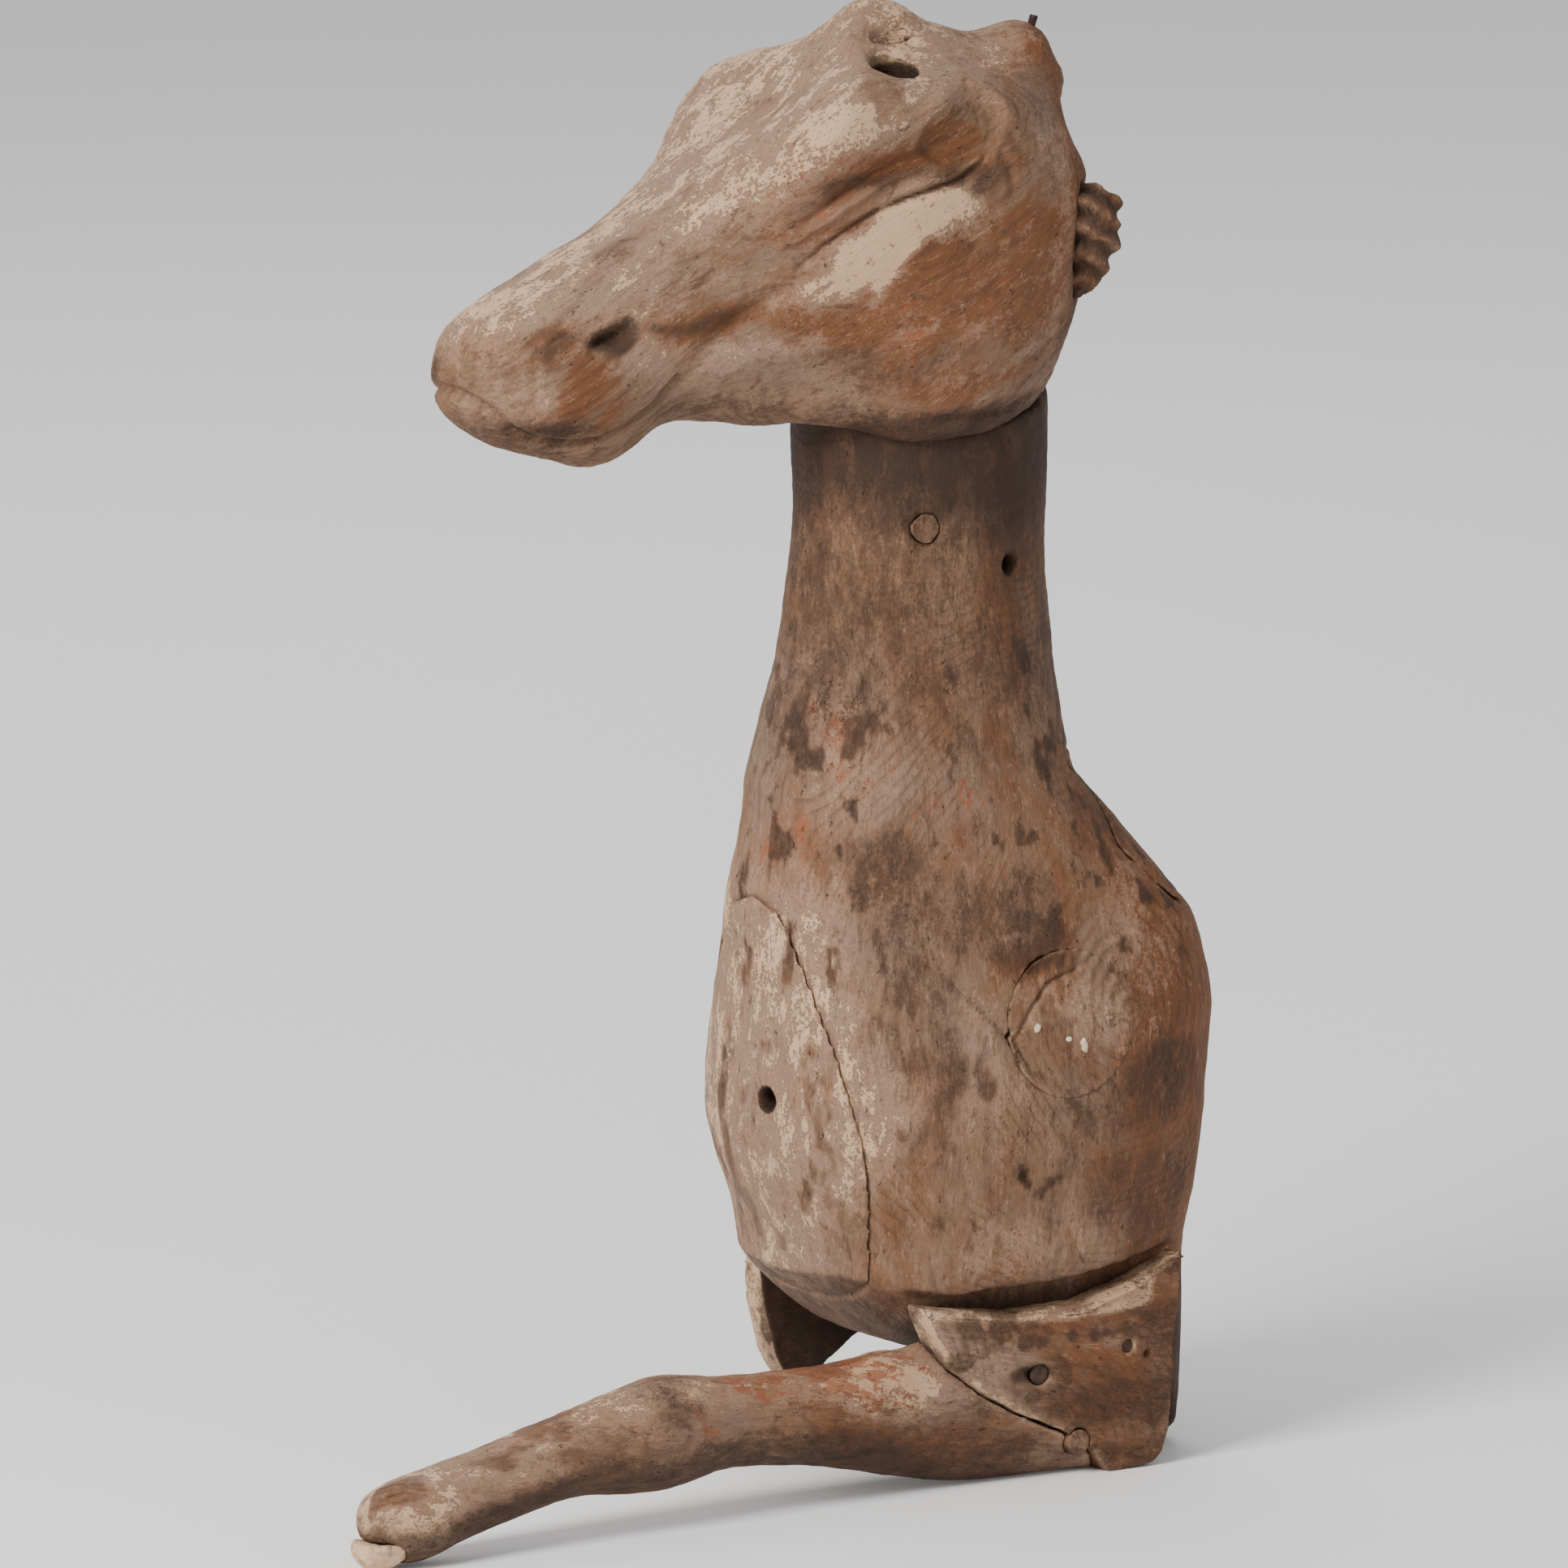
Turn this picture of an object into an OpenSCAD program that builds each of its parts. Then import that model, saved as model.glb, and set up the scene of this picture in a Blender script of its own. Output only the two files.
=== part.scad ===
// Carved wooden giraffe, the front half of a reclining animal.
// The head is pegged on the neck, and the upper arms and the foreleg are pegged to the body.
// Millimetres. The animal faces -X, its near side is -Y and it rests on the floor at z = 0.

/* [Body] */
// Half width of the body between the two upper arms
cheek_half_w = 66; // [62:1:68]
// Distance of the sawn rear face behind the neck's axis
rear_face_x = 139; // [128:1:140]
// Play at the seams between carved blocks
seam_gap = 0.6; // [0.3:0.1:1.2]
// Radius of the round insert in each shoulder
insert_r = 34; // [28:1:36]
// Depth of each shoulder insert, measured from the middle of the body
insert_inner_y = 48; // [40:1:56]

/* [Upper arms] */
// Half width over the outer faces of the two upper arms
arm_half_w = 85; // [82:1:88]

/* [Head joint] */
// Radius of the tenon between neck and head
tenon_r = 23; // [18:1:26]
// Height of the tenon's lower end
tenon_bottom = 440; // [430:1:446]
// Height of the tenon's upper end
tenon_top = 572; // [560:1:580]
// Height of the lowest line of the saddle where the head sits
saddle_z = 522; // [518:1:524]
// Radius of that saddle
saddle_r = 185; // [160:5:220]

/* [Pegs and holes] */
// Radius of the plugged neck peg
neck_peg_r = 7.5; // [6:0.5:8]
// Radius of the empty neck peg hole
neck_hole_r = 5; // [4:0.5:6]
// Radius of the peg that holds the chest block
chest_peg_r = 5.8; // [5:0.2:6.4]
// Radius of the larger peg of each upper arm
arm_peg_r = 5.5; // [4.5:0.5:6.5]
// Radius of the smaller peg of each upper arm
arm_pin_r = 4; // [3:0.5:5]
// Radius of the elbow dowel
elbow_r = 6.5; // [5:0.5:7]
// Radius of the sockets for the lost horns
horn_r = 11; // [9:0.5:12]
// Depth of the horn sockets
horn_depth = 30; // [20:1:34]
// Radius of the dowel holes in the rear face
rear_hole_r = 8; // [6:0.5:9]
// Depth of the dowel holes in the rear face
rear_hole_depth = 45; // [30:1:50]
// Play of every peg in its hole
peg_play = 0.15; // [0.1:0.05:0.3]

/* [Smoothness] */
// Points round each section of the body
body_points = 44; // [32:4:56]
// Sections carved between two stations
loft_steps = 3; // [2:1:4]

/* [Hidden] */

// The origin is under the middle of the whole statue's box, from its hoof to its rear face
// and from the foreleg's outer side to the far flank.
hoof_reach = 382;
leg_reach_y = 102.2;
flank_reach_y = 92;
origin_x = (hoof_reach - rear_face_x) / 2;
origin_y = (leg_reach_y - flank_reach_y) / 2;

// Reach of a cutter that passes right through.
through = 400;

wood_tan = [0.59, 0.45, 0.34];
wood_pale = [0.78, 0.66, 0.54];
wood_dark = [0.30, 0.22, 0.18];
iron_dark = [0.16, 0.14, 0.13];

// Body stations: height, centre, half length, half width, squareness.
body_rows = [
  [548, 1, 69, 50, 2.0],
  [486, 1, 67, 50, 2.0],
  [453, -1, 68, 50.5, 2.0],
  [413, -2, 72, 53, 2.05],
  [384, -4.5, 76.5, 57, 2.1],
  [346, -6, 84, 63, 2.2],
  [335, -3, 88, 65, 2.2],
  [311, 6.5, 100, 70, 2.3],
  [282, 17, 115, 78, 2.4],
  [264, 24, 122, 82, 2.5],
  [229, 26, 126.5, 89, 2.6],
  [209, 24, 126, 91, 2.6],
  [180, 23, 125, 92, 2.6],
  [152, 24, 120.5, 91, 2.6],
  [127, 26, 114, 89, 2.6],
  [103, 25, 109, 87, 2.6],
  [50, 25, 109, 86, 2.6],
  [-2, 25, 107, 84, 2.6]
];

// Keel of the belly: distance along X, half width, lowest height.
keel_rows = [
  [-92, 26, 112],
  [-84, 44, 104],
  [-75, 60, 97],
  [-63, 73, 86],
  [-50, 80, 75],
  [-36, 86, 66],
  [0, 88, 53],
  [50, 88, 34],
  [100, 88, 12],
  [122, 88, -1],
  [160, 88, -2]
];
keel_mid_z = 132;
keel_squareness = 2.5;

// Side outline of the seam behind the chest block, from its foot to its point.
chest_seam = [
  [-66, 40], [-66, 113], [-69, 138], [-73, 164], [-78, 188], [-83, 213], [-88, 242], [-91, 264], [-94, 284], [-98, 300]
];

// Side outline of the cap on the withers.
withers_outline = [[60, 352], [84, 328], [84, 306], [106, 284], [124, 272], [150, 280], [150, 352]];

// Side outline of an upper arm, from its front top corner down to the elbow and back.
arm_front = [[-50, 93], [-46, 82], [-42, 72], [-34, 61], [-16, 47], [6, 34], [31, 23], [48, 12], [57, 0]];
arm_rear = [[74, 0], [84, 2], [90, 7], [95, 20], [97, 60], [103, 105], [96, 102], [74, 93], [45, 85], [5, 84],
            [-26, 90]];

// Height of the body's overhang above an upper arm, front to rear.
overhang = [[-54, 100], [-27, 96], [25, 95], [44, 97], [73, 102], [100, 108], [150, 114]];

// Foreleg stations: distance along X, centre, top, bottom, half thickness.
leg_rows = [
  [-377, -84, 32, 18, 6],
  [-374, -84, 36, 12, 11],
  [-367, -84, 40, 5, 16],
  [-354, -83, 43.5, 1.5, 19],
  [-340, -82, 46, 3, 19.5],
  [-322, -80, 49, 8.5, 19],
  [-292, -78, 54.5, 15, 19],
  [-254, -75, 63, 21.5, 19.5],
  [-225, -74, 70, 19.5, 21],
  [-202, -72, 74, 18.5, 22],
  [-184, -71, 73, 20, 21.5],
  [-154, -69, 69, 24, 20],
  [-100, -67, 68, 18, 20],
  [-56, -66, 73, 7, 18],
  [-20, -66, 73, 1, 16.5],
  [20, -66, 60, 0, 16.5],
  [62, -66, 40, 0, 16.5]
];
leg_points = 28;

// Head stations, muzzle to poll: distance along X, top, then side and height of the crown's flank,
// the brow, the temple, the cheek and the jaw, then the bottom.
head_rows = [
  [-275, 575, 6, 574, 10, 571, 12, 566, 10, 561, 6, 557, 556],
  [-272, 582, 9, 581, 15, 577, 18, 568, 15, 557, 9, 551, 550],
  [-266, 590, 12, 589, 21, 583, 25, 570, 22, 554, 12, 545, 543],
  [-257, 597, 14, 596, 26, 587, 30, 571, 27, 550, 14, 539, 537],
  [-244, 604, 17, 602, 29, 592, 34, 573, 32, 547, 17, 532, 530],
  [-223, 613, 19, 610, 31, 599, 37, 579, 36, 548, 19, 526, 524],
  [-200, 623, 20, 620, 31, 607, 37, 584, 37, 550, 20, 521, 518],
  [-180, 631, 21, 628, 31, 614, 36, 588, 35, 554, 19, 526, 523],
  [-156, 642, 23, 641, 34, 629, 36, 599, 34, 565, 19, 538, 534],
  [-126, 660, 32, 661, 48, 646, 44, 612, 38, 575, 22, 537, 532],
  [-104, 674, 40, 680, 64, 665, 54, 626, 46, 580, 27, 533, 529],
  [-82, 686, 41, 697, 67, 686, 61, 638, 53, 585, 36, 533, 530],
  [-60, 708, 36, 706, 64, 693, 65, 649, 60, 591, 46, 531, 527],
  [-38, 731, 22, 710, 59, 695, 67, 656, 65, 596, 54, 525, 520],
  [-16, 730, 22, 710, 56, 693, 68, 660, 66, 600, 56, 522, 519],
  [6, 717, 24, 706, 53, 690, 67, 660, 66, 602, 54, 522, 519],
  [30, 709, 24, 700, 49, 683, 62, 652, 62, 602, 48, 526, 521],
  [52, 709, 20, 698, 41, 676, 53, 642, 54, 602, 38, 537, 530],
  [67, 703, 16, 694, 32, 664, 42, 636, 44, 600, 28, 554, 547],
  [77, 691, 13, 682, 19, 655, 26, 632, 30, 600, 18, 572, 566],
  [84, 680, 7, 675, 9, 650, 13, 630, 15, 604, 9, 588, 584]
];
// Points carved between two control points of a head section.
head_substeps = 4;

// Ear stub: distance along its axis, half width, half height.
ear_rows = [[-16, 10, 24], [-4, 12, 28], [6, 13, 31], [12, 13, 31], [17, 10, 26], [20, 5, 17]];
ear_at = [66, 40, 610];
ear_turn = 52;

// Peg places on the near side; the far side mirrors them.
arm_peg_at = [17.7, 53];
arm_pin_at = [69, 61.5];
elbow_at = [40, 17];
arm_peg_inner_y = 30;
far_peg_at = [10, 68];
far_pin_at = [72, 80];
insert_at = [32, 228];
chest_peg_at = [-101, -19, 193];
chest_peg_turn = 16;
chest_peg_sunk = 13;
chest_peg_len = 62;
neck_peg_at = [-25, -46, 474];
neck_hole_at = [24, -46, 452];
neck_peg_turn = 15;
neck_peg_len = 72;
neck_hole_depth = 40;
horn_at = [-37, 35, 699];
rear_hole_heights = [120, 215];
round_fn = 64;

// Catmull-Rom value between b and c.
function curve(a, b, c, d, t) =
  0.5 * (2 * b + (c - a) * t + (2 * a - 5 * b + 4 * c - d) * t * t + (3 * b - a - 3 * c + d) * t * t * t);

// Row i, held at either end of the table.
function row(rows, i) = rows[max(0, min(len(rows) - 1, i))];

// The table with further rows drawn smoothly between its own.
function smooth(rows, steps) = [
  for (i = [0:len(rows) - 2])
    for (s = [0:steps - 1])
      curve(row(rows, i - 1), rows[i], rows[i + 1], row(rows, i + 2), s / steps),
  rows[len(rows) - 1]
];

// Signed power, for squared ovals.
function bulge(v, power) = sign(v) * pow(abs(v), power);

// Unit oval: angle step i of n, with the given squareness.
function oval(i, n, squareness) =
  [bulge(cos(360 * i / n), 2 / squareness), bulge(sin(360 * i / n), 2 / squareness)];

function body_ring(r) = [
  for (i = [0:body_points - 1])
    let (p = oval(i, body_points, r[4]))
      [r[1] + r[2] * p[0], r[3] * p[1], r[0]]
];

function keel_ring(r) = [
  for (i = [0:leg_points - 1])
    let (p = oval(i, leg_points, keel_squareness))
      [r[0], -r[1] * p[0], keel_mid_z + (keel_mid_z - r[2]) * p[1]]
];

function leg_ring(r) = [
  for (i = [0:leg_points - 1])
    let (p = oval(i, leg_points, 2.1))
      [r[0], r[1] - r[4] * p[0], (r[2] + r[3]) / 2 + (r[2] - r[3]) / 2 * p[1]]
];

function ear_ring(r) = [
  for (i = [0:19])
    let (p = oval(i, 20, 2))
      [r[0], -r[1] * p[0], r[2] * p[1]]
];

// Control points round one head section, near side mirrored from the far side.
function head_controls(r) = [
  [0, r[1]],
  for (k = [1:5]) [r[2 * k], r[2 * k + 1]],
  [0, r[12]],
  for (k = [5:-1:1]) [-r[2 * k], r[2 * k + 1]]
];

function head_ring(r) =
  let (c = head_controls(r), n = len(c))
    [
      for (i = [0:n - 1])
        for (s = [0:head_substeps - 1])
          let (p = curve(c[(i + n - 1) % n], c[i], c[(i + 1) % n], c[(i + 2) % n], s / head_substeps))
            [r[0], p[0], p[1]]
    ];

function middle(ring) = [for (k = [0:2]) sum([for (p = ring) p[k]]) / len(ring)];

function sum(v, i = 0) = i >= len(v) ? 0 : v[i] + sum(v, i + 1);

// Solid skin over a row of rings, closed by a fan at each end.
module loft(rings) {
  n = len(rings[0]);
  m = len(rings);
  first = m * n;
  last = first + 1;
  points = concat([for (ring = rings) each ring], [middle(rings[0]), middle(rings[m - 1])]);
  sides = [
    for (j = [0:m - 2])
      for (i = [0:n - 1])
        let (a = j * n + i, b = j * n + (i + 1) % n)
          each [[a, b, b + n], [a, b + n, a + n]]
  ];
  start_cap = [for (i = [0:n - 1]) [first, (i + 1) % n, i]];
  end_cap = [for (i = [0:n - 1]) [last, (m - 1) * n + i, (m - 1) * n + (i + 1) % n]];
  polyhedron(points, concat(sides, start_cap, end_cap), convexity = 8);
}

// Moves the statue so that the origin is under the middle of its box.
module placed() {
  translate([origin_x, origin_y, 0]) children();
}

// Side outline drawn in X and Z, given thickness from y0 to y1.
module side_slab(outline, y0, y1) {
  translate([0, y1, 0]) rotate([90, 0, 0]) linear_extrude(y1 - y0) polygon(outline);
}

// Round rod along Y from y0 to y1.
module cross_rod(at, r, y0, y1) {
  translate([at[0], y0, at[1]]) rotate([-90, 0, 0]) cylinder(h = y1 - y0, r = r, $fn = round_fn);
}

module envelope() {
  loft([for (r = smooth(body_rows, loft_steps)) body_ring(r)]);
}

module keel() {
  loft([for (r = smooth(keel_rows, loft_steps)) keel_ring(r)]);
  translate([-through / 2, -through / 2, keel_mid_z - 8]) cube([through, through, 2 * through]);
  translate([-54, -through / 2, 94]) cube([through, through, through]);
}

// Saddle on the neck's top, as a cross cylinder; play widens it.
module saddle(play = 0) {
  translate([0, 0, saddle_z + saddle_r])
    rotate([90, 0, 0])
      cylinder(h = through, r = saddle_r + play, center = true, $fn = 160);
}

// Space for an upper arm and the foreleg's tongue, on the near side.
module arm_rebate() {
  side_slab(concat([[150, -5], [-54, -5]], overhang), -through / 2, -cheek_half_w);
}

module body_blank() {
  difference() {
    intersection() {
      envelope();
      keel();
    }
    arm_rebate();
    mirror([0, 1, 0]) arm_rebate();
    translate([rear_face_x, -through / 2, -10]) cube([through, through, through]);
    translate([-through / 2, -through / 2, -10]) cube([through, through, 10]);
  }
}

// Everything in front of the chest seam, moved back by the gap.
module chest_region(gap) {
  side_slab(concat([for (p = chest_seam) [p[0] + gap, p[1]]], [[-200, 300], [-200, 40]]), -120, 120);
}

module withers_region(gap) {
  side_slab(withers_outline + [for (p = withers_outline) [-gap, -gap]], -60, 60);
}

module insert_region(r) {
  cross_rod(insert_at, r, -120, -insert_inner_y);
}

// Rod that starts on the neck's surface and runs in towards its axis.
module neck_rod(at, turn, r, from, to) {
  translate(at) rotate([0, 0, turn]) translate([0, from, 0]) rotate([-90, 0, 0])
    cylinder(h = to - from, r = r, $fn = round_fn);
}

// Rod that starts on the chest and runs rearwards.
module chest_rod(r, from, to) {
  translate(chest_peg_at) rotate([0, 0, chest_peg_turn]) rotate([0, 90, 0])
    translate([0, 0, from]) cylinder(h = to - from, r = r, $fn = round_fn);
}

// Hidden dowels behind the chest block, or their holes. Each end is drawn in by end.
module chest_dowel_rods(r, end) {
  for (at = [[-82, 18, 128], [-96, 24, 222]])
    translate(at) rotate([0, 90, 0]) translate([0, 0, 4 + end]) cylinder(h = 44 - 2 * end, r = r, $fn = round_fn);
}

module withers_dowel_rod(r, end) {
  translate([104, 0, 300]) rotate([0, -140, 0]) translate([0, 0, -8 + end])
    cylinder(h = 38 - 2 * end, r = r, $fn = round_fn);
}

// Hidden dowel behind a shoulder insert, on the near side.
module insert_dowel_rod(r, end) {
  cross_rod(insert_at, r, -insert_inner_y - 18 + end, -insert_inner_y + 24 - end);
}

// Holes for the near arm's pegs, through the arm and into the body.
module arm_holes() {
  cross_rod(arm_peg_at, arm_peg_r, -100, -arm_peg_inner_y);
  cross_rod(arm_pin_at, arm_pin_r, -100, -arm_peg_inner_y);
  cross_rod(elbow_at, elbow_r, -100, -arm_peg_inner_y - 12);
}

// Holes for the far arm's pegs, drawn on the near side.
module far_arm_holes() {
  cross_rod(far_peg_at, arm_peg_r, -100, -arm_peg_inner_y);
  cross_rod(far_pin_at, arm_pin_r, -100, -arm_peg_inner_y);
}

module carved_torso() {
  resize([0, 0, 0]) difference() {
    body_blank();
    saddle();
    chest_region(seam_gap);
    withers_region(seam_gap);
    insert_region(insert_r);
    mirror([0, 1, 0]) insert_region(insert_r);
  }
}

module neck_and_torso() {
  placed() color(wood_tan) difference() {
    carved_torso();
    translate([0, 0, tenon_bottom]) cylinder(h = 140, r = tenon_r, $fn = round_fn);
    neck_rod(neck_peg_at, -neck_peg_turn, neck_peg_r, -20, neck_peg_len);
    neck_rod(neck_hole_at, neck_peg_turn, neck_hole_r, -20, neck_hole_depth);
    chest_rod(chest_peg_r, -20, chest_peg_len);
    chest_dowel_rods(5, 0);
    withers_dowel_rod(5, 0);
    insert_dowel_rod(6, 0);
    mirror([0, 1, 0]) insert_dowel_rod(6, 0);
    arm_holes();
    mirror([0, 1, 0]) far_arm_holes();
    for (z = rear_hole_heights)
      translate([rear_face_x - rear_hole_depth, 0, z]) rotate([0, 90, 0])
        cylinder(h = rear_hole_depth + 20, r = rear_hole_r, $fn = round_fn);
  }
}

module chest_block() {
  placed() color(wood_tan) difference() {
    resize([0, 0, 0]) intersection() {
      body_blank();
      chest_region(0);
    }
    chest_rod(chest_peg_r, -20, chest_peg_len);
    chest_dowel_rods(5, 0);
  }
}

module withers_cap() {
  placed() color(wood_tan) difference() {
    resize([0, 0, 0]) intersection() {
      body_blank();
      withers_region(0);
    }
    withers_dowel_rod(5, 0);
  }
}

module shoulder_insert() {
  difference() {
    resize([0, 0, 0]) intersection() {
      body_blank();
      insert_region(insert_r - seam_gap / 2);
    }
    insert_dowel_rod(6, 0);
  }
}

module near_shoulder_insert() {
  placed() color(wood_tan) shoulder_insert();
}

module far_shoulder_insert() {
  placed() color(wood_tan) mirror([0, 1, 0]) shoulder_insert();
}

// Upper arm board on the near side, pegged to the body's cheek.
module near_upper_arm() {
  placed() color(wood_tan) difference() {
    side_slab(concat(arm_front, arm_rear), -arm_half_w, -cheek_half_w - peg_play);
    arm_holes();
  }
}

// The lost far foreleg leaves the far arm with a pointed foot.
module far_upper_arm() {
  far_outline = concat(
    [[-50, 93], [-47, 70], [-40, 43], [-36, 35], [-31, 27], [-24, 21]],
    [[-9, 38], [7, 49], [30, 56], [70, 64], [99, 68], [103, 105], [96, 102], [74, 93], [45, 85], [5, 84], [-26, 90]]
  );
  placed() color(wood_dark) mirror([0, 1, 0]) difference() {
    side_slab(far_outline, -arm_half_w, -cheek_half_w - peg_play);
    far_arm_holes();
  }
}

// Everything that the foreleg's tongue must leave to the upper arm, the body and the floor.
module leg_trim() {
  side_slab(concat([for (p = arm_front) [p[0] - 0.4, p[1] - 0.4]], [[200, -1], [200, 200], [-50.4, 200]]), -120, 0);
  translate([-60, -cheek_half_w - peg_play, -10]) cube([through, through, through]);
  translate([-through, -through / 2, -20]) cube([2 * through, through, 20]);
}

// Remains of the hoof: a worn nub under the leg's tip; grow widens its seat.
module hoof_nub(grow) {
  intersection() {
    translate([-368, -84, 10.5]) scale([14, 14, 10.5 + grow]) sphere(r = 1 + grow / 14, $fn = 40);
    translate([-368 - 30, -84 - 30, 0]) cube([60, 60, 14 + grow]);
  }
}

module near_foreleg() {
  placed() color(wood_pale) difference() {
    resize([0, 0, 0]) difference() {
      loft([for (r = smooth(leg_rows, loft_steps)) leg_ring(r)]);
      leg_trim();
      hoof_nub(0.3);
    }
    cross_rod(elbow_at, elbow_r, -100, -arm_peg_inner_y - 12);
  }
}

module hoof_stub() {
  placed() color(wood_pale) resize([0, 0, 0]) hoof_nub(0);
}

module ear_body() {
  loft([for (r = smooth(ear_rows, 2)) ear_ring(r)]);
}

// Near ear stub in its place; the far one is its mirror.
module ear_stub(grow) {
  translate([ear_at[0], -ear_at[1], ear_at[2]]) rotate([0, 12, -ear_turn])
    scale([1 + grow, 1 + grow, 1 + grow]) ear_body();
}

module near_ear_stub() {
  placed() color(wood_dark) ear_stub(0);
}

module far_ear_stub() {
  placed() color(wood_dark) mirror([0, 1, 0]) ear_stub(0);
}

// Sockets of the two lost horns, leaning out from the crown.
module horn_sockets() {
  for (side = [-1, 1])
    translate([horn_at[0], side * horn_at[1], horn_at[2]]) rotate([side * -14, -8, 0])
      translate([0, 0, -horn_depth]) cylinder(h = horn_depth + 40, r = horn_r, $fn = round_fn);
}

module poll_nail_rod(grow) {
  translate([58, -3, 690]) rotate([0, 18, 0]) cylinder(h = 26, r = 2.2 + grow, $fn = 24);
}

// Mortise on the near flank of the crest, where an ornament was let in.
module crest_slot() {
  translate([-27, -15, 714]) rotate([0, 0, 4]) translate([-11, -2.2, -9]) cube([22, 4.4, 24]);
}

module carved_head() {
  resize([0, 0, 0]) difference() {
    loft([for (r = smooth(head_rows, loft_steps)) head_ring(r)]);
    difference() {
      scale([1.006, 1.008, 1]) envelope();
      saddle(-seam_gap / 4);
    }
    ear_stub(0.02);
    mirror([0, 1, 0]) ear_stub(0.02);
    crest_slot();
  }
}

module head() {
  placed() color(wood_tan) difference() {
    carved_head();
    translate([0, 0, 500]) cylinder(h = tenon_top - 500, r = tenon_r, $fn = round_fn);
    horn_sockets();
    poll_nail_rod(0);
  }
}

module head_tenon() {
  placed() color(wood_pale) difference() {
    translate([0, 0, tenon_bottom + peg_play])
      cylinder(h = tenon_top - tenon_bottom - 2 * peg_play, r = tenon_r - peg_play, $fn = round_fn);
    neck_rod(neck_peg_at, -neck_peg_turn, neck_peg_r, -20, neck_peg_len);
    neck_rod(neck_hole_at, neck_peg_turn, neck_hole_r, -20, neck_hole_depth);
  }
}

module poll_nail() {
  placed() color(iron_dark) poll_nail_rod(-0.05);
}

module neck_peg() {
  placed() color(wood_dark)
    neck_rod(neck_peg_at, -neck_peg_turn, neck_peg_r - peg_play, 1, neck_peg_len - 0.5);
}

module chest_peg() {
  placed() color(wood_dark) chest_rod(chest_peg_r - peg_play, chest_peg_sunk, chest_peg_len - 0.5);
}

module chest_dowels() {
  placed() color(wood_pale) chest_dowel_rods(5 - peg_play, 0.5);
}

module withers_dowel() {
  placed() color(wood_pale) withers_dowel_rod(5 - peg_play, 0.5);
}

module insert_dowels() {
  placed() color(wood_pale) {
    insert_dowel_rod(6 - peg_play, 0.5);
    mirror([0, 1, 0]) insert_dowel_rod(6 - peg_play, 0.5);
  }
}

module near_arm_peg() {
  placed() color(wood_dark) cross_rod(arm_peg_at, arm_peg_r - peg_play, -arm_half_w + 2, -arm_peg_inner_y - 0.5);
}

module near_arm_pin() {
  placed() color(wood_dark) cross_rod(arm_pin_at, arm_pin_r - peg_play, -arm_half_w + 1.5, -arm_peg_inner_y - 0.5);
}

module near_elbow_dowel() {
  placed() color(wood_pale) cross_rod(elbow_at, elbow_r - peg_play, -arm_half_w, -arm_peg_inner_y - 12.5);
}

module far_arm_pegs() {
  placed() color(wood_dark) mirror([0, 1, 0]) {
    cross_rod(far_peg_at, arm_peg_r - peg_play, -arm_half_w + 2, -arm_peg_inner_y - 0.5);
    cross_rod(far_pin_at, arm_pin_r - peg_play, -arm_half_w + 2, -arm_peg_inner_y - 0.5);
  }
}

neck_and_torso();
chest_block();
withers_cap();
near_shoulder_insert();
far_shoulder_insert();
near_upper_arm();
far_upper_arm();
near_foreleg();
hoof_stub();
head();
head_tenon();
near_ear_stub();
far_ear_stub();
poll_nail();
neck_peg();
chest_peg();
chest_dowels();
withers_dowel();
insert_dowels();
near_arm_peg();
near_arm_pin();
near_elbow_dowel();
far_arm_pegs();
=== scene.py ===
"""Looks of a worn, carved wooden giraffe: the front half of a reclining animal, built on its CAD frame."""
import math

import bpy
import numpy as np
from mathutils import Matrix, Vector


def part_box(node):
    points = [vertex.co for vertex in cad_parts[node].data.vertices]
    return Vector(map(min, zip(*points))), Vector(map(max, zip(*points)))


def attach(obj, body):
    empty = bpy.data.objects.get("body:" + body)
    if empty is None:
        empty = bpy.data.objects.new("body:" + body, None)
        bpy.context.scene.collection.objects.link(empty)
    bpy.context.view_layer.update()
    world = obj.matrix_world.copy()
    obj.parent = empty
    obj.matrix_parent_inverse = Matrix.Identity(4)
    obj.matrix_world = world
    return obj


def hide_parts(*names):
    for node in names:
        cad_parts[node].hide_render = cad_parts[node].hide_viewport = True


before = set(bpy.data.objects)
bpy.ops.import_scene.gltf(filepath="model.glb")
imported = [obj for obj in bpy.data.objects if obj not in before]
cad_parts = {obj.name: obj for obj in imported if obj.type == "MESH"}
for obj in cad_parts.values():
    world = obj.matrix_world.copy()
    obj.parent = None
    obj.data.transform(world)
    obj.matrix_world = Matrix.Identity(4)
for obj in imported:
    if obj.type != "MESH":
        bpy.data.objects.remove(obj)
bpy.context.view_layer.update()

MM = 0.001
tenon_low, tenon_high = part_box("head_tenon")
# Carving places are in millimetres from the floor under the neck's axis, -X ahead and -Y on the near side.
NECK = np.array([(tenon_low.x + tenon_high.x) / 2, (tenon_low.y + tenon_high.y) / 2, 0.0])


def place(x, y, z):
    """A carving place as a point in the frame, in metres."""
    return Vector(NECK + np.array([x, y, z]) * MM)


# ---------------------------------------------------------------- camera, floor and light

VIEW_AZIMUTH = math.radians(-33)
VIEW_ELEVATION = math.radians(11)
LENS = 1000.0
SENSOR = 36.0
VIEW_WIDTH = 0.7728
VIEW_AIM = place(-20.6, 88.6, 324.7)
CLIP_END = 100.0
VIEW_BACK = Vector((
    math.sin(VIEW_AZIMUTH) * math.cos(VIEW_ELEVATION),
    -math.cos(VIEW_AZIMUTH) * math.cos(VIEW_ELEVATION),
    math.sin(VIEW_ELEVATION),
))


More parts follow.
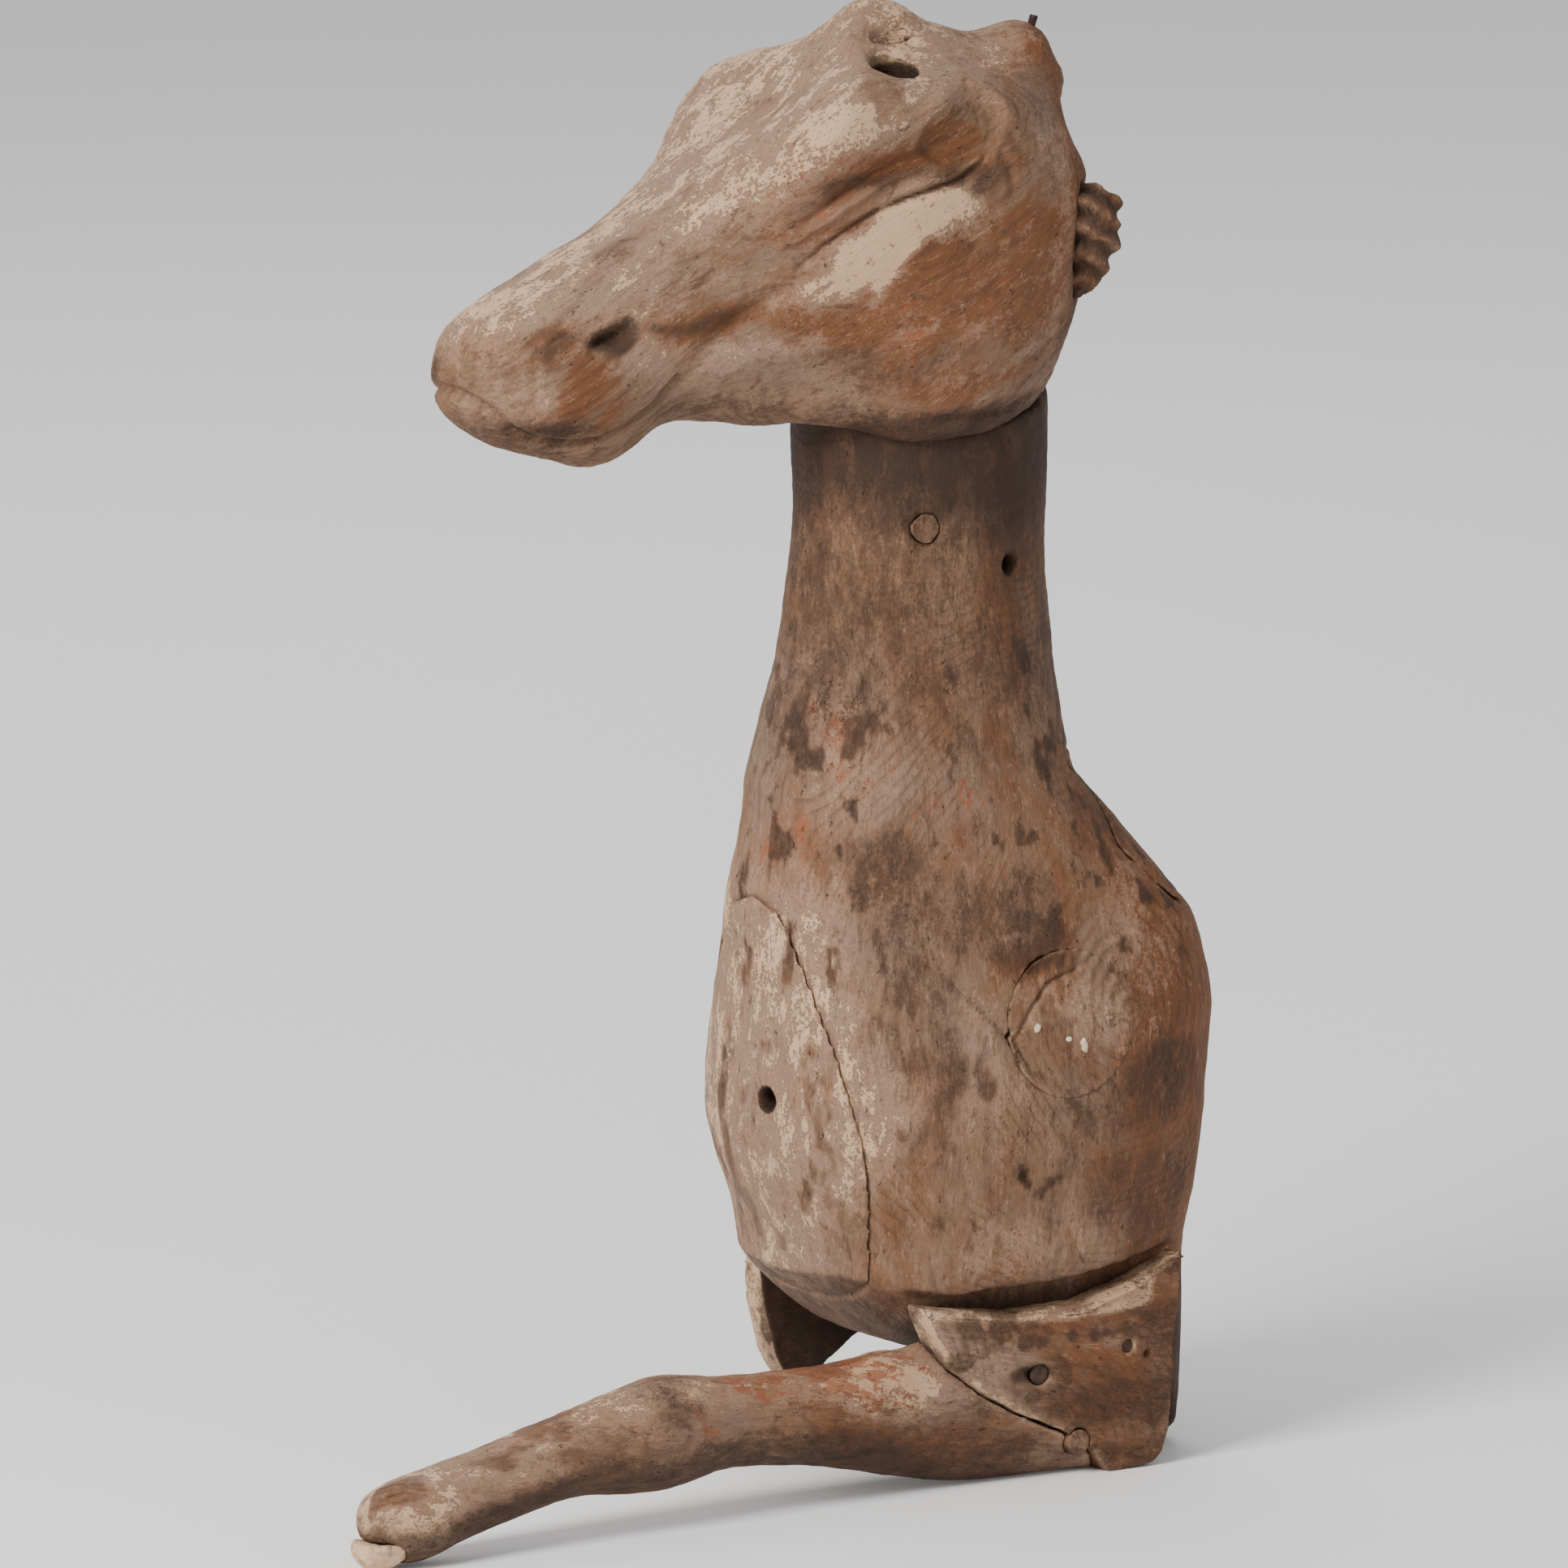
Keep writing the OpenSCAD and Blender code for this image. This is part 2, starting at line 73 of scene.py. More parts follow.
def make_camera():
    data = bpy.data.cameras.new("view")
    data.lens = LENS
    data.sensor_width = SENSOR
    data.clip_end = CLIP_END
    camera = bpy.data.objects.new("view", data)
    bpy.context.scene.collection.objects.link(camera)
    camera.location = VIEW_AIM + VIEW_BACK * (VIEW_WIDTH * LENS / SENSOR)
    camera.rotation_mode = "QUATERNION"
    camera.rotation_quaternion = (-VIEW_BACK).to_track_quat("-Z", "Y")
    bpy.context.scene.camera = camera


def area_light(name, at, target, size, power, colour):
    data = bpy.data.lights.new(name, "AREA")
    data.size = size
    data.energy = power
    data.color = colour
    light = bpy.data.objects.new(name, data)
    light.location = at
    light.visible_camera = False
    light.rotation_mode = "QUATERNION"
    light.rotation_quaternion = (Vector(target) - Vector(at)).to_track_quat("-Z", "Y")
    bpy.context.scene.collection.objects.link(light)


LIGHT_AIM = place(-40, 0, 330)
SKY_COLOUR = (0.98, 0.99, 1.0, 1)
SKY_STRENGTH = 0.64


def make_light():
    aim = LIGHT_AIM
    area_light("key", aim + Vector((-2.4, -0.8, 1.7)), aim, 1.1, 112, (1.0, 0.975, 0.94))
    area_light("fill", aim + Vector((0.9, -2.6, 0.7)), aim, 2.2, 9, (1.0, 0.98, 0.96))
    area_light("back", aim + Vector((0.9, 2.4, 2.0)), aim, 2.0, 34, (1.0, 0.98, 0.95))
    world = bpy.data.worlds.new("studio")
    world.use_nodes = True
    world.node_tree.nodes["Background"].inputs["Color"].default_value = SKY_COLOUR
    world.node_tree.nodes["Background"].inputs["Strength"].default_value = SKY_STRENGTH
    bpy.context.scene.world = world


# ---------------------------------------------------------------- noise and carving fields

def lattice(i, j, k, seed):
    """Repeatable value from 0 to 1 at each whole-number lattice point."""
    h = (i * 374761393 + j * 668265263 + k * 2147483647 + seed * 974634777) & 0xFFFFFFFF
    h = ((h ^ (h >> 13)) * 1274126177) & 0xFFFFFFFF
    return ((h ^ (h >> 16)) & 0xFFFF) / 65535.0


def value_noise(p, scale, seed):
    """Smooth noise from 0 to 1 on points p, with features of the given size in millimetres."""
    q = p / scale
    cell = np.floor(q).astype(np.int64)
    t = q - cell
    t = t * t * (3 - 2 * t)
    total = np.zeros(len(p))
    for dx in (0, 1):
        wx = t[:, 0] if dx else 1 - t[:, 0]
        for dy in (0, 1):
            wy = t[:, 1] if dy else 1 - t[:, 1]
            for dz in (0, 1):
                wz = t[:, 2] if dz else 1 - t[:, 2]
                total += wx * wy * wz * lattice(cell[:, 0] + dx, cell[:, 1] + dy, cell[:, 2] + dz, seed)
    return total


def fractal(p, scale, octaves, seed):
    """Several octaves of noise, centred on 0."""
    total = np.zeros(len(p))
    weight = 1.0
    for k in range(octaves):
        total += weight * (value_noise(p, scale / 2 ** k, seed + k) - 0.5)
        weight *= 0.5
    return total


def smoothstep(v, low, high):
    t = np.clip((v - low) / (high - low), 0, 1)
    return t * t * (3 - 2 * t)


def line_distance(flat, points):
    """Distance from each 2-D point to a polyline, and how far along the line the nearest place is, 0 to 1."""
    best = np.full(len(flat), 1e9)
    along = np.zeros(len(flat))
    pts = np.array(points, float)
    lengths = np.linalg.norm(np.diff(pts, axis=0), axis=1)
    start = np.concatenate([[0], np.cumsum(lengths)])
    for a, b, s, length in zip(pts[:-1], pts[1:], start, lengths):
        t = np.clip(((flat - a) @ (b - a)) / length ** 2, 0, 1)
        d = np.linalg.norm(flat - (a + t[:, None] * (b - a)), axis=1)
        near = d < best
        best[near] = d[near]
        along[near] = (s + t[near] * length) / start[-1]
    return best, along


def groove(flat, points, width, depth, fade=True):
    """Carved groove along a polyline, shallower at its ends."""
    d, along = line_distance(flat, points)
    ends = np.sin(np.pi * np.clip(along, 0.04, 0.96)) ** 0.4 if fade else 1.0
    return -depth * np.exp(-(d / width) ** 2) * ends


def blob(p, centre, radii, height):
    """Rounded swelling, or hollow if height is negative."""
    return height * np.exp(-(((p - centre) / radii) ** 2).sum(axis=1))


def patch(p, centre, radii):
    """Mask that is 1 in the middle of a patch and falls to 0 at its edge."""
    return np.exp(-(((p - np.array(centre)) / np.array(radii)) ** 2).sum(axis=1) ** 1.5)


def warped(p, seed, amount, scale=40.0):
    """Points shifted by noise, so a patch measured on them has a ragged outline."""
    return p + amount * np.column_stack([fractal(p, scale, 3, seed + 10 * k) for k in range(3)])


def rings(flat, centre, spacing, drift):
    """Growth-ring relief round a log's wandering heart, from -1 to 1, on 2-D points."""
    radius = np.hypot(flat[:, 0] - centre[0], flat[:, 1] - centre[1])
    wave = np.sin(2 * np.pi * (radius + drift) / spacing)
    return np.sign(wave) * np.abs(wave) ** 0.7


# ---------------------------------------------------------------- sculpted copies of the CAD solids

def sculpt_copy(node, voxel_mm):
    """Even, fine mesh of a CAD node's solid."""
    piece = bpy.data.objects.new("carved_" + node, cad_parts[node].data.copy())
    bpy.context.scene.collection.objects.link(piece)
    remesh = piece.modifiers.new("even", "REMESH")
    remesh.mode = "VOXEL"
    remesh.voxel_size = voxel_mm * MM
    depsgraph = bpy.context.evaluated_depsgraph_get()
    baked = bpy.data.meshes.new_from_object(piece.evaluated_get(depsgraph))
    piece.modifiers.clear()
    piece.data = baked
    baked.name = piece.name
    return piece


def edges_of(mesh):
    edges = np.zeros(len(mesh.edges) * 2, np.int64)
    mesh.edges.foreach_get("vertices", edges)
    return edges.reshape(-1, 2)


def neighbour_mean(values, edges, count):
    """Mean over each point's neighbours of one value per point."""
    total = np.bincount(edges[:, 0], values[edges[:, 1]], minlength=len(values))
    total += np.bincount(edges[:, 1], values[edges[:, 0]], minlength=len(values))
    return total / count


def soften(mesh, steps, weight=1.0):
    """Smooths the CAD facets away, by the weight of each point, and returns the new points."""
    p = points_of(mesh)
    edges = edges_of(mesh)
    count = np.maximum(np.bincount(edges.ravel(), minlength=len(p)), 1)
    for _ in range(steps):
        mean = np.column_stack([neighbour_mean(p[:, k], edges, count) for k in range(3)])
        p += 0.6 * np.reshape(weight, (-1, 1)) * (mean - p)
    move_points(mesh, p)
    return p


def points_of(mesh):
    co = np.zeros(len(mesh.vertices) * 3)
    mesh.vertices.foreach_get("co", co)
    return (co.reshape(-1, 3) - NECK) / MM


def normals_of(mesh):
    normal = np.zeros(len(mesh.vertices) * 3, np.float32)
    mesh.vertices.foreach_get("normal", normal)
    return normal.reshape(-1, 3).astype(float)


def move_points(mesh, p):
    mesh.vertices.foreach_set("co", (p * MM + NECK).ravel().astype(np.float32))
    mesh.update()


def paint(mesh, name, values):
    """Stores a mask from 0 to 1 on the mesh for its material to read."""
    layer = mesh.attributes.new(name, "FLOAT", "POINT")
    layer.data.foreach_set("value", np.clip(values, 0, 1).astype(np.float32))


def bend_of(mesh, p, normal):
    """How the surface bends at each point: above 0 in a hollow, below 0 on an edge."""
    edges = edges_of(mesh)
    count = np.maximum(np.bincount(edges.ravel(), minlength=len(p)), 1)
    step = p[edges[:, 1]] - p[edges[:, 0]]
    length = np.linalg.norm(step, axis=1) + 1e-9
    value = np.bincount(edges[:, 0], (step * normal[edges[:, 0]]).sum(1) / length, minlength=len(p))
    value -= np.bincount(edges[:, 1], (step * normal[edges[:, 1]]).sum(1) / length, minlength=len(p))
    value /= count
    for _ in range(2):
        value = 0.4 * value + 0.6 * neighbour_mean(value, edges, count)
    return value


def finish_piece(piece, node, material, masks):
    mesh = piece.data
    p = points_of(mesh)
    bend = bend_of(mesh, p, normals_of(mesh))
    # Painted shade in hollows and creases, and a painted highlight on convex edges, for the material to read.
    paint(mesh, "hollow", smoothstep(bend, 0.05, 0.34))
    paint(mesh, "edge", smoothstep(-bend, 0.07, 0.34))
    for name in ("pale", "dark", "ochre", "warm"):
        paint(mesh, name, masks[name] if name in masks else np.zeros(len(p)))
    mesh.materials.clear()
    mesh.materials.append(material)
    mesh.polygons.foreach_set("use_smooth", np.ones(len(mesh.polygons), bool))
    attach(piece, "root")
    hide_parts(node)


def in_bore(p, mouth, axis, radius):
    """Mask that is 1 inside a bored hole, given its mouth and the way it points out."""
    axis = np.array(axis) / np.linalg.norm(axis)
    step = p - np.array(mouth)
    depth = -(step @ axis)
    off_axis = np.linalg.norm(step + depth[:, None] * axis, axis=1)
    return smoothstep(radius + 1.2 - off_axis, 0, 1.0) * smoothstep(depth, -4, 2) * (depth < 60)


def hand_carved(p, seed):
    """Dents and low waves that hand tools and wear leave on every carved face."""
    return fractal(p, 46, 3, seed) * 2.0 + fractal(p, 10, 3, seed + 7) * 0.55


def along(angle_deg, p):
    """Side-view coordinates turned so that the first runs along a grain at this angle to -X to +X."""
    c, s = math.cos(math.radians(angle_deg)), math.sin(math.radians(angle_deg))
    return c * p[:, 0] + s * p[:, 2], c * p[:, 2] - s * p[:, 0]


# Side-view lines on the head, X and Z.
LID = np.array([(-114, 623), (-98, 634), (-82, 643), (-66, 651), (-49, 657), (-34, 660)])
EYE_CREASE = [(-104, 613), (-92, 624), (-80, 631), (-66, 638), (-51, 643), (-35, 647), (-20, 650), (-5, 658),
              (6, 669)]
EYE_REAR = [(6, 664), (12, 652), (14, 638)]
BROW = [(-30, 688), (-18, 695), (-4, 697), (8, 692), (17, 682), (20, 670)]
MOUTH = [(-282, 568), (-271, 559), (-262, 553), (-252, 543), (-239, 537), (-225, 534), (-205, 534),
         (-190, 539), (-174, 548), (-159, 560)]
CHEEK = [(-166, 553), (-148, 574), (-132, 587), (-116, 596), (-98, 608)]
RIM = [(-66, 541), (-40, 534), (-10, 530), (20, 532), (50, 541), (70, 556)]
MUZZLE_TOP = [(-268, 594), (-252, 589), (-240, 590), (-224, 597), (-212, 600)]
NOSTRIL = [(-212, 582), (-204, 585), (-192, 588)]
NOSTRIL_CUP = [(-240, 586), (-224, 588), (-207, 590)]
NOSE_WING = [(-241, 580), (-245, 566), (-243, 552)]
NOSE_ANGLE = 27
EYE_ANGLE = 19
# Places on the crown: the mouth of each horn's socket, and the slot in the crest. The head mirrors at Y = 0.
HORN_SOCKET = (-37, 35, 699)
HORN_RADIUS = 11
CREST_SLOT = (-27, -15, 712)
# Heart of the log that the head was cut from, across its nose, and the spacing of its growth rings.
HEAD_HEART = (30, 545)
HEAD_RING = 3.6


def carve_head():
    piece = sculpt_copy("head", 1.62)
    mesh = piece.data
    p = points_of(mesh)
    q = np.column_stack([p[:, 0], np.abs(p[:, 1]), p[:, 2]])
    keep = np.minimum.reduce([
        smoothstep(np.linalg.norm(q - HORN_SOCKET, axis=1), 13, 17),
        smoothstep(np.hypot(p[:, 0] - CREST_SLOT[0], p[:, 1] - CREST_SLOT[1]), 13, 17) + (p[:, 2] < 690),
        smoothstep(np.linalg.norm(p - (58, -3, 700), axis=1), 8, 20),
    ])
    p = soften(mesh, 12, np.clip(keep, 0.08, 1))
    normal = normals_of(mesh)
    side = p[:, [0, 2]]
    q = np.column_stack([p[:, 0], np.abs(p[:, 1]), p[:, 2]])
    flank = smoothstep(q[:, 1], 14, 26)
    outer = smoothstep(q[:, 1], 30, 44)
    nose_u, nose_v = along(NOSE_ANGLE, p)
    eye_u, eye_v = along(EYE_ANGLE, q - (-45, 0, 664))

    rise = hand_carved(p, 11)
    # The eye is a long hollow under the brow, deepest at its rear, over a lid with a crease.
    rise += -6.0 * np.exp(-(eye_u / 44) ** 2 - (eye_v / 11) ** 2) * outer
    socket_u, socket_v = along(EYE_ANGLE, q - (-13, 0, 675))
    rise += -5.5 * smoothstep(1.0 - np.hypot(socket_u / 30, socket_v / 17), 0, 0.26) * outer
    rise += -groove(side, BROW, 4.0, 2.2) * outer
    rise += blob(q, (76, 46, 613), (16, 18, 36), 8.0)
    rise += blob(q, (84, 46, 644), (10, 18, 9), 6.0)
    rise += -groove(side, LID, 2.6, 3.2) * outer
    rise += groove(side, LID + np.array([1.5, 6.5]), 2.4, 2.0) * outer
    rise += groove(side, EYE_CREASE, 1.9, 4.8) * outer
    rise += groove(side, EYE_REAR, 3.4, 2.4) * outer
    rise += blob(q, (-58, 66, 616), (46, 26, 17), 3.8)
    rise += blob(q, (-2, 66, 620), (20, 26, 26), -1.6)
    lip = np.maximum(smoothstep(q[:, 1], 2, 8), smoothstep(-p[:, 0], 262, 270))
    rise += groove(side, MOUTH, 1.9, 3.8, fade=False) * lip
    rise += blob(p, (-285, -6, 573), (8, 16, 6), 2.6)
    rise += blob(p, (-284, -6, 562), (8, 18, 4), -3.2)
    rise += groove(side, CHEEK, 5.5, 5.4) * flank
    rise += blob(q, (-118, 44, 568), (30, 26, 14), 3.0)
    rise += groove(side, RIM, 1.9, 1.8) * outer
    rise += groove(side, MUZZLE_TOP, 2.2, 1.6) * flank
    rise += groove(side, NOSTRIL, 3.4, 8.5) * flank
    rise += groove(side, NOSTRIL_CUP, 7.0, 4.0) * flank
    rise += groove(side, NOSE_WING, 2.6, 1.6) * flank
    rise += blob(q, (-232, 32, 556), (20, 20, 14), 2.2)
    rise += blob(p, (60, -3, 703), (15, 20, 11), 6.5)
    rise += blob(p, CREST_SLOT, (12, 6, 9), -2.4)
    rise += blob(p, CREST_SLOT, (3, 9, 9), 1.2) * (value_noise(p, 4, 219) - 0.2)
    rim = np.linalg.norm(q - HORN_SOCKET, axis=1)
    rise += -2.0 * smoothstep(19 - rim, 0, 7)
    # The back of the head is torn where the mane and ears broke off.
    torn = smoothstep(p[:, 0], 62, 80) * smoothstep(p[:, 2], 560, 590)
    layers = np.sin(p[:, 2] / 6.3 + 4 * fractal(p, 40, 2, 211))
    rise += torn * (1.8 * layers + 5 * fractal(p, 24, 4, 213))
    rise += blob(p, (90, -10, 689), (8, 22, 5), 6.0)
    rise += blob(p, (84, -10, 664), (14, 40, 12), -6.5)
    rise += blob(p, (92, -30, 640), (10, 20, 6), 4.5)
    grain = rings(np.column_stack([p[:, 1], nose_v]), HEAD_HEART, HEAD_RING, fractal(p, 60, 3, 3) * 16)
    rise += grain * (0.12 + 0.16 * smoothstep(-p[:, 0], 170, 220))
    p += normal * rise[:, None]
    move_points(mesh, p)

    w = warped(p, 301, 26)
    v = np.column_stack([w[:, 0], np.abs(w[:, 1]), w[:, 2]])
    w_u, w_v = along(EYE_ANGLE + 8, v - (-56, 0, 622))
    cheek_patch = np.exp(-((w_u / 46) ** 2 + (w_v / 18) ** 2) ** 1.5) * outer
    blot = fractal(np.column_stack([0.45 * nose_u, p[:, 1], nose_v]), 17, 4, 321)
    masks = {
        "pale": np.maximum.reduce([
            1.5 * cheek_patch,
            1.0 * patch(p, (-27, -15, 714), (14, 5, 9)) * (np.abs(p[:, 1] - CREST_SLOT[1]) > 2.4),
            # Paler toward the top of the forehead: whitewash together with a painted highlight.
            0.68 * smoothstep(p[:, 2] - 0.42 * p[:, 0], 672, 712) * smoothstep(-p[:, 0], -70, 0),
            0.52 * patch(v, (-200, 20, 610), (70, 50, 30)),
            0.50 * patch(v, (-256, 30, 560), (22, 30, 20)),
            0.55 * patch(v, (-165, 40, 575), (26, 40, 18)),
            0.60 * patch(v, (-118, 45, 562), (34, 40, 12)),
            0.30 * patch(v, (-20, 60, 566), (60, 40, 26)),
            0.42 * patch(v, (44, 50, 630), (16, 36, 60)),
            0.50 * patch(v, (20, 20, 706), (50, 30, 16)),
        ]) * (1 - 0.45 * smoothstep(blot, 0.12, 0.32)),
        "dark": np.maximum.reduce([
            # Painted shade inside the horn socket and the crest slot.
            1.05 * in_bore(q, HORN_SOCKET, (-0.135, 0.242, 0.961), HORN_RADIUS),
            1.20 * in_bore(p, CREST_SLOT, (0, 0, 1), 12) * (np.abs(p[:, 1] - CREST_SLOT[1]) < 2.4),
            # Painted shade in the nostril.
            1.10 * patch(v, (-201, 36, 586), (17, 20, 8)),
            0.75 * patch(v, (-236, 34, 587), (20, 20, 7)),
            # Painted shade in the mouth's slit under the upper lip.
            0.80 * patch(w, (-280, 0, 566), (8, 34, 12)),
            0.62 * patch(v, (-236, 30, 541), (34, 30, 9)),
            # Painted shade along the eye crease and in the fold behind the eye.
            0.62 * patch(v, (-45, 66, 653), (60, 30, 7)),
            0.36 * patch(v, (10, 66, 676), (7, 20, 20)),
            # Cheek groove: brown colour together with painted shade in the groove.
            0.50 * patch(v, (-140, 40, 590), (40, 40, 9)),
            # Painted shade under the jaw.
            0.80 * smoothstep(544 - p[:, 2], 0, 16) * smoothstep(p[:, 0], -80, -60),
            0.80 * smoothstep(p[:, 0], 76, 92),
            0.50 * patch(v, (66, 40, 590), (20, 40, 40)),
            0.44 * patch(v, (-60, 50, 556), (70, 40, 16)),
            # Painted shade on faces that look down.
            0.34 * smoothstep(-normal[:, 2], 0.1, 0.6),
            0.22 * smoothstep(blot, 0.10, 0.40),
        ]),
        "ochre": np.maximum.reduce([
            0.50 * patch(v, (-236, 34, 556), (14, 30, 16)),
            0.50 * patch(w, (-92, -50, 652), (34, 40, 22)),
            0.34 * patch(v, (-40, 66, 586), (60, 40, 30)),
        ]),
        "warm": np.maximum.reduce([
            1.00 * patch(v, (-14, 66, 678), (26, 30, 17)),
            0.90 * patch(v, (-50, 66, 662), (56, 30, 11)),
            0.95 * patch(v, (-212, 34, 560), (24, 30, 24)),
            0.80 * patch(v, (-234, 30, 588), (22, 20, 9)),
            1.00 * patch(v, (-20, 60, 588), (90, 40, 46)),
            0.80 * patch(v, (-150, 40, 590), (50, 40, 14)),
            0.80 * smoothstep(p[:, 0], 40, 70),
        ]),
    }
    finish_piece(piece, "head", worn_wood("head_wood", "nose", HEAD_HEART, HEAD_RING), masks)


# Side-view cracks on the near shoulder, X and Z.
MAIN_CRACK = [(-66, 262), (-50, 269), (-33, 255), (-16, 239), (-1, 223), (9, 207), (27, 196)]
BRANCH_CRACK = [(-1, 222), (11, 238), (22, 249), (38, 254), (46, 258)]
SHORT_CRACK = [(58, 254), (66, 248), (74, 243)]
INSERT_AT = np.array([32, 228])
INSERT_R = 34
SHOULDER_HEART = (69, 232)
CHEST_SEAM = [(-62, 104), (-66, 113), (-69, 138), (-73, 164), (-78, 188), (-83, 213), (-88, 242), (-91, 264),
              (-94, 284)]


def body_relief(p):
    """Relief of the log and of the blocks carved with it."""
    near = smoothstep(-p[:, 1], 20, 40)
    side = p[:, [0, 2]]
    rise = hand_carved(p, 29) * smoothstep(p[:, 2], 0, 20)
    rise += groove(side, MAIN_CRACK, 1.3, 2.6) * near
    rise += groove(side, BRANCH_CRACK, 1.4, 2.6) * near
    rise += groove(side, SHORT_CRACK, 1.3, 1.8) * near
    rise += blob(p, (20, -88, 256), (16, 20, 6), -1.8)
    rise += blob(p, (4, -90, 155), (5, 12, 4), -3.4)
    rise += blob(p, (18, -92, 150), (12, 12, 3), -1.4)
    # The edges over the upper arms are worn round, which leaves a dark gap below them.
    over_arm = smoothstep(np.abs(p[:, 1]), 60, 74) * smoothstep(112 - p[:, 2], 0, 16)
    rise -= 3.4 * over_arm * smoothstep(p[:, 0], -30, -5)
    oval = np.column_stack([p[:, 0], 0.8 * p[:, 2]])
    drift = fractal(p, 90, 3, 17) * 26
    flank = smoothstep(p[:, 0], -10, 50) * smoothstep(330 - p[:, 2], 0, 60)
    flank *= 0.5 + 1.3 * smoothstep(fractal(p, 40, 2, 19), -0.1, 0.3)
    sawn = smoothstep(130 - p[:, 0], 0, 25) * smoothstep(p[:, 2], 95, 112)
    grain = rings(oval, (SHOULDER_HEART[0], 0.8 * SHOULDER_HEART[1]), 5.6, drift)
    rise += grain * (0.07 + 0.30 * flank) * sawn
    flutes = np.sin(p[:, 0] / 3.4 + 3 * fractal(p, 70, 2, 51))
    rise += flutes * 0.22 * near * smoothstep(-p[:, 0], 10, 40) * smoothstep(240 - p[:, 2], 0, 40)
    rise += blob(p, (-18, -46, 464), (9, 16, 6), -1.6)
    return rise


def body_masks(p, normal):
    w = warped(p, 401, 34, 60)
    ragged = warped(p, 431, 9, 9)
    behind = smoothstep(w[:, 0], 20, 110)
    front = smoothstep(-w[:, 0], 48, 84)
    blot = fractal(p * (1, 1, 0.5), 10, 4, 441)
    spots = smoothstep(blot, 0.10, 0.34)
    upper = smoothstep(w[:, 2], 230, 290) * smoothstep(460 - w[:, 2], 0, 60)
    return {
        "pale": np.maximum.reduce([
            0.62 * front * smoothstep(330 - p[:, 2], 0, 60),
            0.42 * patch(w, (-70, -30, 380), (30, 50, 60)),
            0.42 * patch(w, (-20, -90, 190), (40, 40, 60)),
            0.42 * patch(w, (20, -90, 120), (60, 40, 22)),
            0.50 * patch(w, (40, -86, 232), (30, 34, 26)),
            0.42 * patch(w, (88, -60, 262), (30, 50, 22)),
            0.50 * patch(w, (20, 90, 190), (90, 50, 90)),
        ]) * (1 - 0.7 * spots),
        "dark": np.maximum.reduce([
            # Painted shade inside the two bored holes.
            1.60 * in_bore(p, (24, -46, 452), (0.26, -0.97, 0), 5.5),
            1.60 * in_bore(p, (-101, -19, 193), (-0.96, -0.28, 0), 6.2),
            1.05 * smoothstep(w[:, 2], 415, 515),
            0.75 * patch(w, (10, -60, 500), (50, 40, 26)),
            0.50 * smoothstep(w[:, 2], 320, 400),
            0.66 * patch(w, (-52, -60, 312), (20, 40, 34)),
            0.55 * patch(w, (-20, -70, 290), (50, 40, 26)),
            0.60 * patch(w, (10, -80, 268), (30, 40, 16)),
            0.60 * patch(w, (-40, -80, 215), (12, 40, 70)),
            0.60 * patch(w, (90, -76, 190), (44, 40, 26)),
            0.46 * patch(w, (76, -84, 140), (60, 40, 30)),
            1.20 * patch(ragged, (5, -92, 155), (5, 16, 4.5)),
            0.75 * patch(ragged, (17, -92, 150), (11, 16, 4)),
            0.62 * behind * smoothstep(p[:, 2], 290, 330),
            # Painted shade in the gap under the torso's edge above the arms.
            0.85 * smoothstep(104 - p[:, 2], 0, 18) * smoothstep(p[:, 0], -50, -20),
            # Painted shade, darker toward the floor.
            0.60 * smoothstep(60 - p[:, 2], 0, 50),
            # Painted shade on faces that look down.
            0.45 * smoothstep(-normal[:, 2], 0.2, 0.7),
            (0.34 + 0.40 * upper) * spots,
        ]),
        "ochre": np.maximum.reduce([
            0.80 * patch(w, (-70, -22, 352), (14, 34, 36)),
            0.55 * patch(w, (-20, -62, 342), (30, 24, 10)),
            0.75 * patch(w, (-84, -14, 318), (10, 34, 24)),
            0.30 * patch(w, (-40, -40, 330), (60, 40, 60)),
        ]),
        "warm": np.maximum.reduce([
            0.90 * behind,
            0.75 * smoothstep(w[:, 2], 340, 460) * smoothstep(p[:, 0], -20, 30),
            0.65 * patch(w, (20, -86, 262), (26, 30, 14)),
        ]),
    }


def seam_weight(p):
    """Low near the seams between the body's blocks, where the edges stay crisp."""
    side = p[:, [0, 2]]
    circle = np.abs(np.linalg.norm(side - INSERT_AT, axis=1) - INSERT_R) + 99 * (np.abs(p[:, 1]) < 40)
    chest, _ = line_distance(side, CHEST_SEAM)
    return np.minimum(0.12 + 0.88 * smoothstep(circle, 3, 8), 0.75 + 0.25 * smoothstep(chest, 3, 8))


def close_insert_seam(p, normal):
    """Spreads the insert's rim along the shoulder, over the play in its seam."""
    away = p[:, [0, 2]] - INSERT_AT
    reach = np.linalg.norm(away, axis=1)
    face = (np.abs(normal[:, 1]) > 0.8) & (reach < INSERT_R - 4) & (np.abs(p[:, 1]) > 60)

    def bowl(flat):
        x, z = flat[:, 0], flat[:, 1]
        return np.column_stack([np.ones(len(x)), x, z, x * x, x * z, z * z])

    shape, *_ = np.linalg.lstsq(bowl(away[face]), p[face, 1], rcond=None)
    spread = 2.8 * smoothstep(reach, INSERT_R - 3, INSERT_R - 1)
    moved = away * (1 + spread / np.maximum(reach, 1))[:, None]
    p[:, 1] += (bowl(moved) - bowl(away)) @ shape
    p[:, [0, 2]] = moved + INSERT_AT
    return p


def carve_body_piece(node, voxel_mm, steps, material):
    piece = sculpt_copy(node, voxel_mm)
    mesh = piece.data
    p = soften(mesh, steps, seam_weight(points_of(mesh)))
    normal = normals_of(mesh)
    if node.endswith("insert"):
        p = close_insert_seam(p, normal)
    p += normal * body_relief(p)[:, None]
    move_points(mesh, p)
    finish_piece(piece, node, material, body_masks(p, normals_of(mesh)))


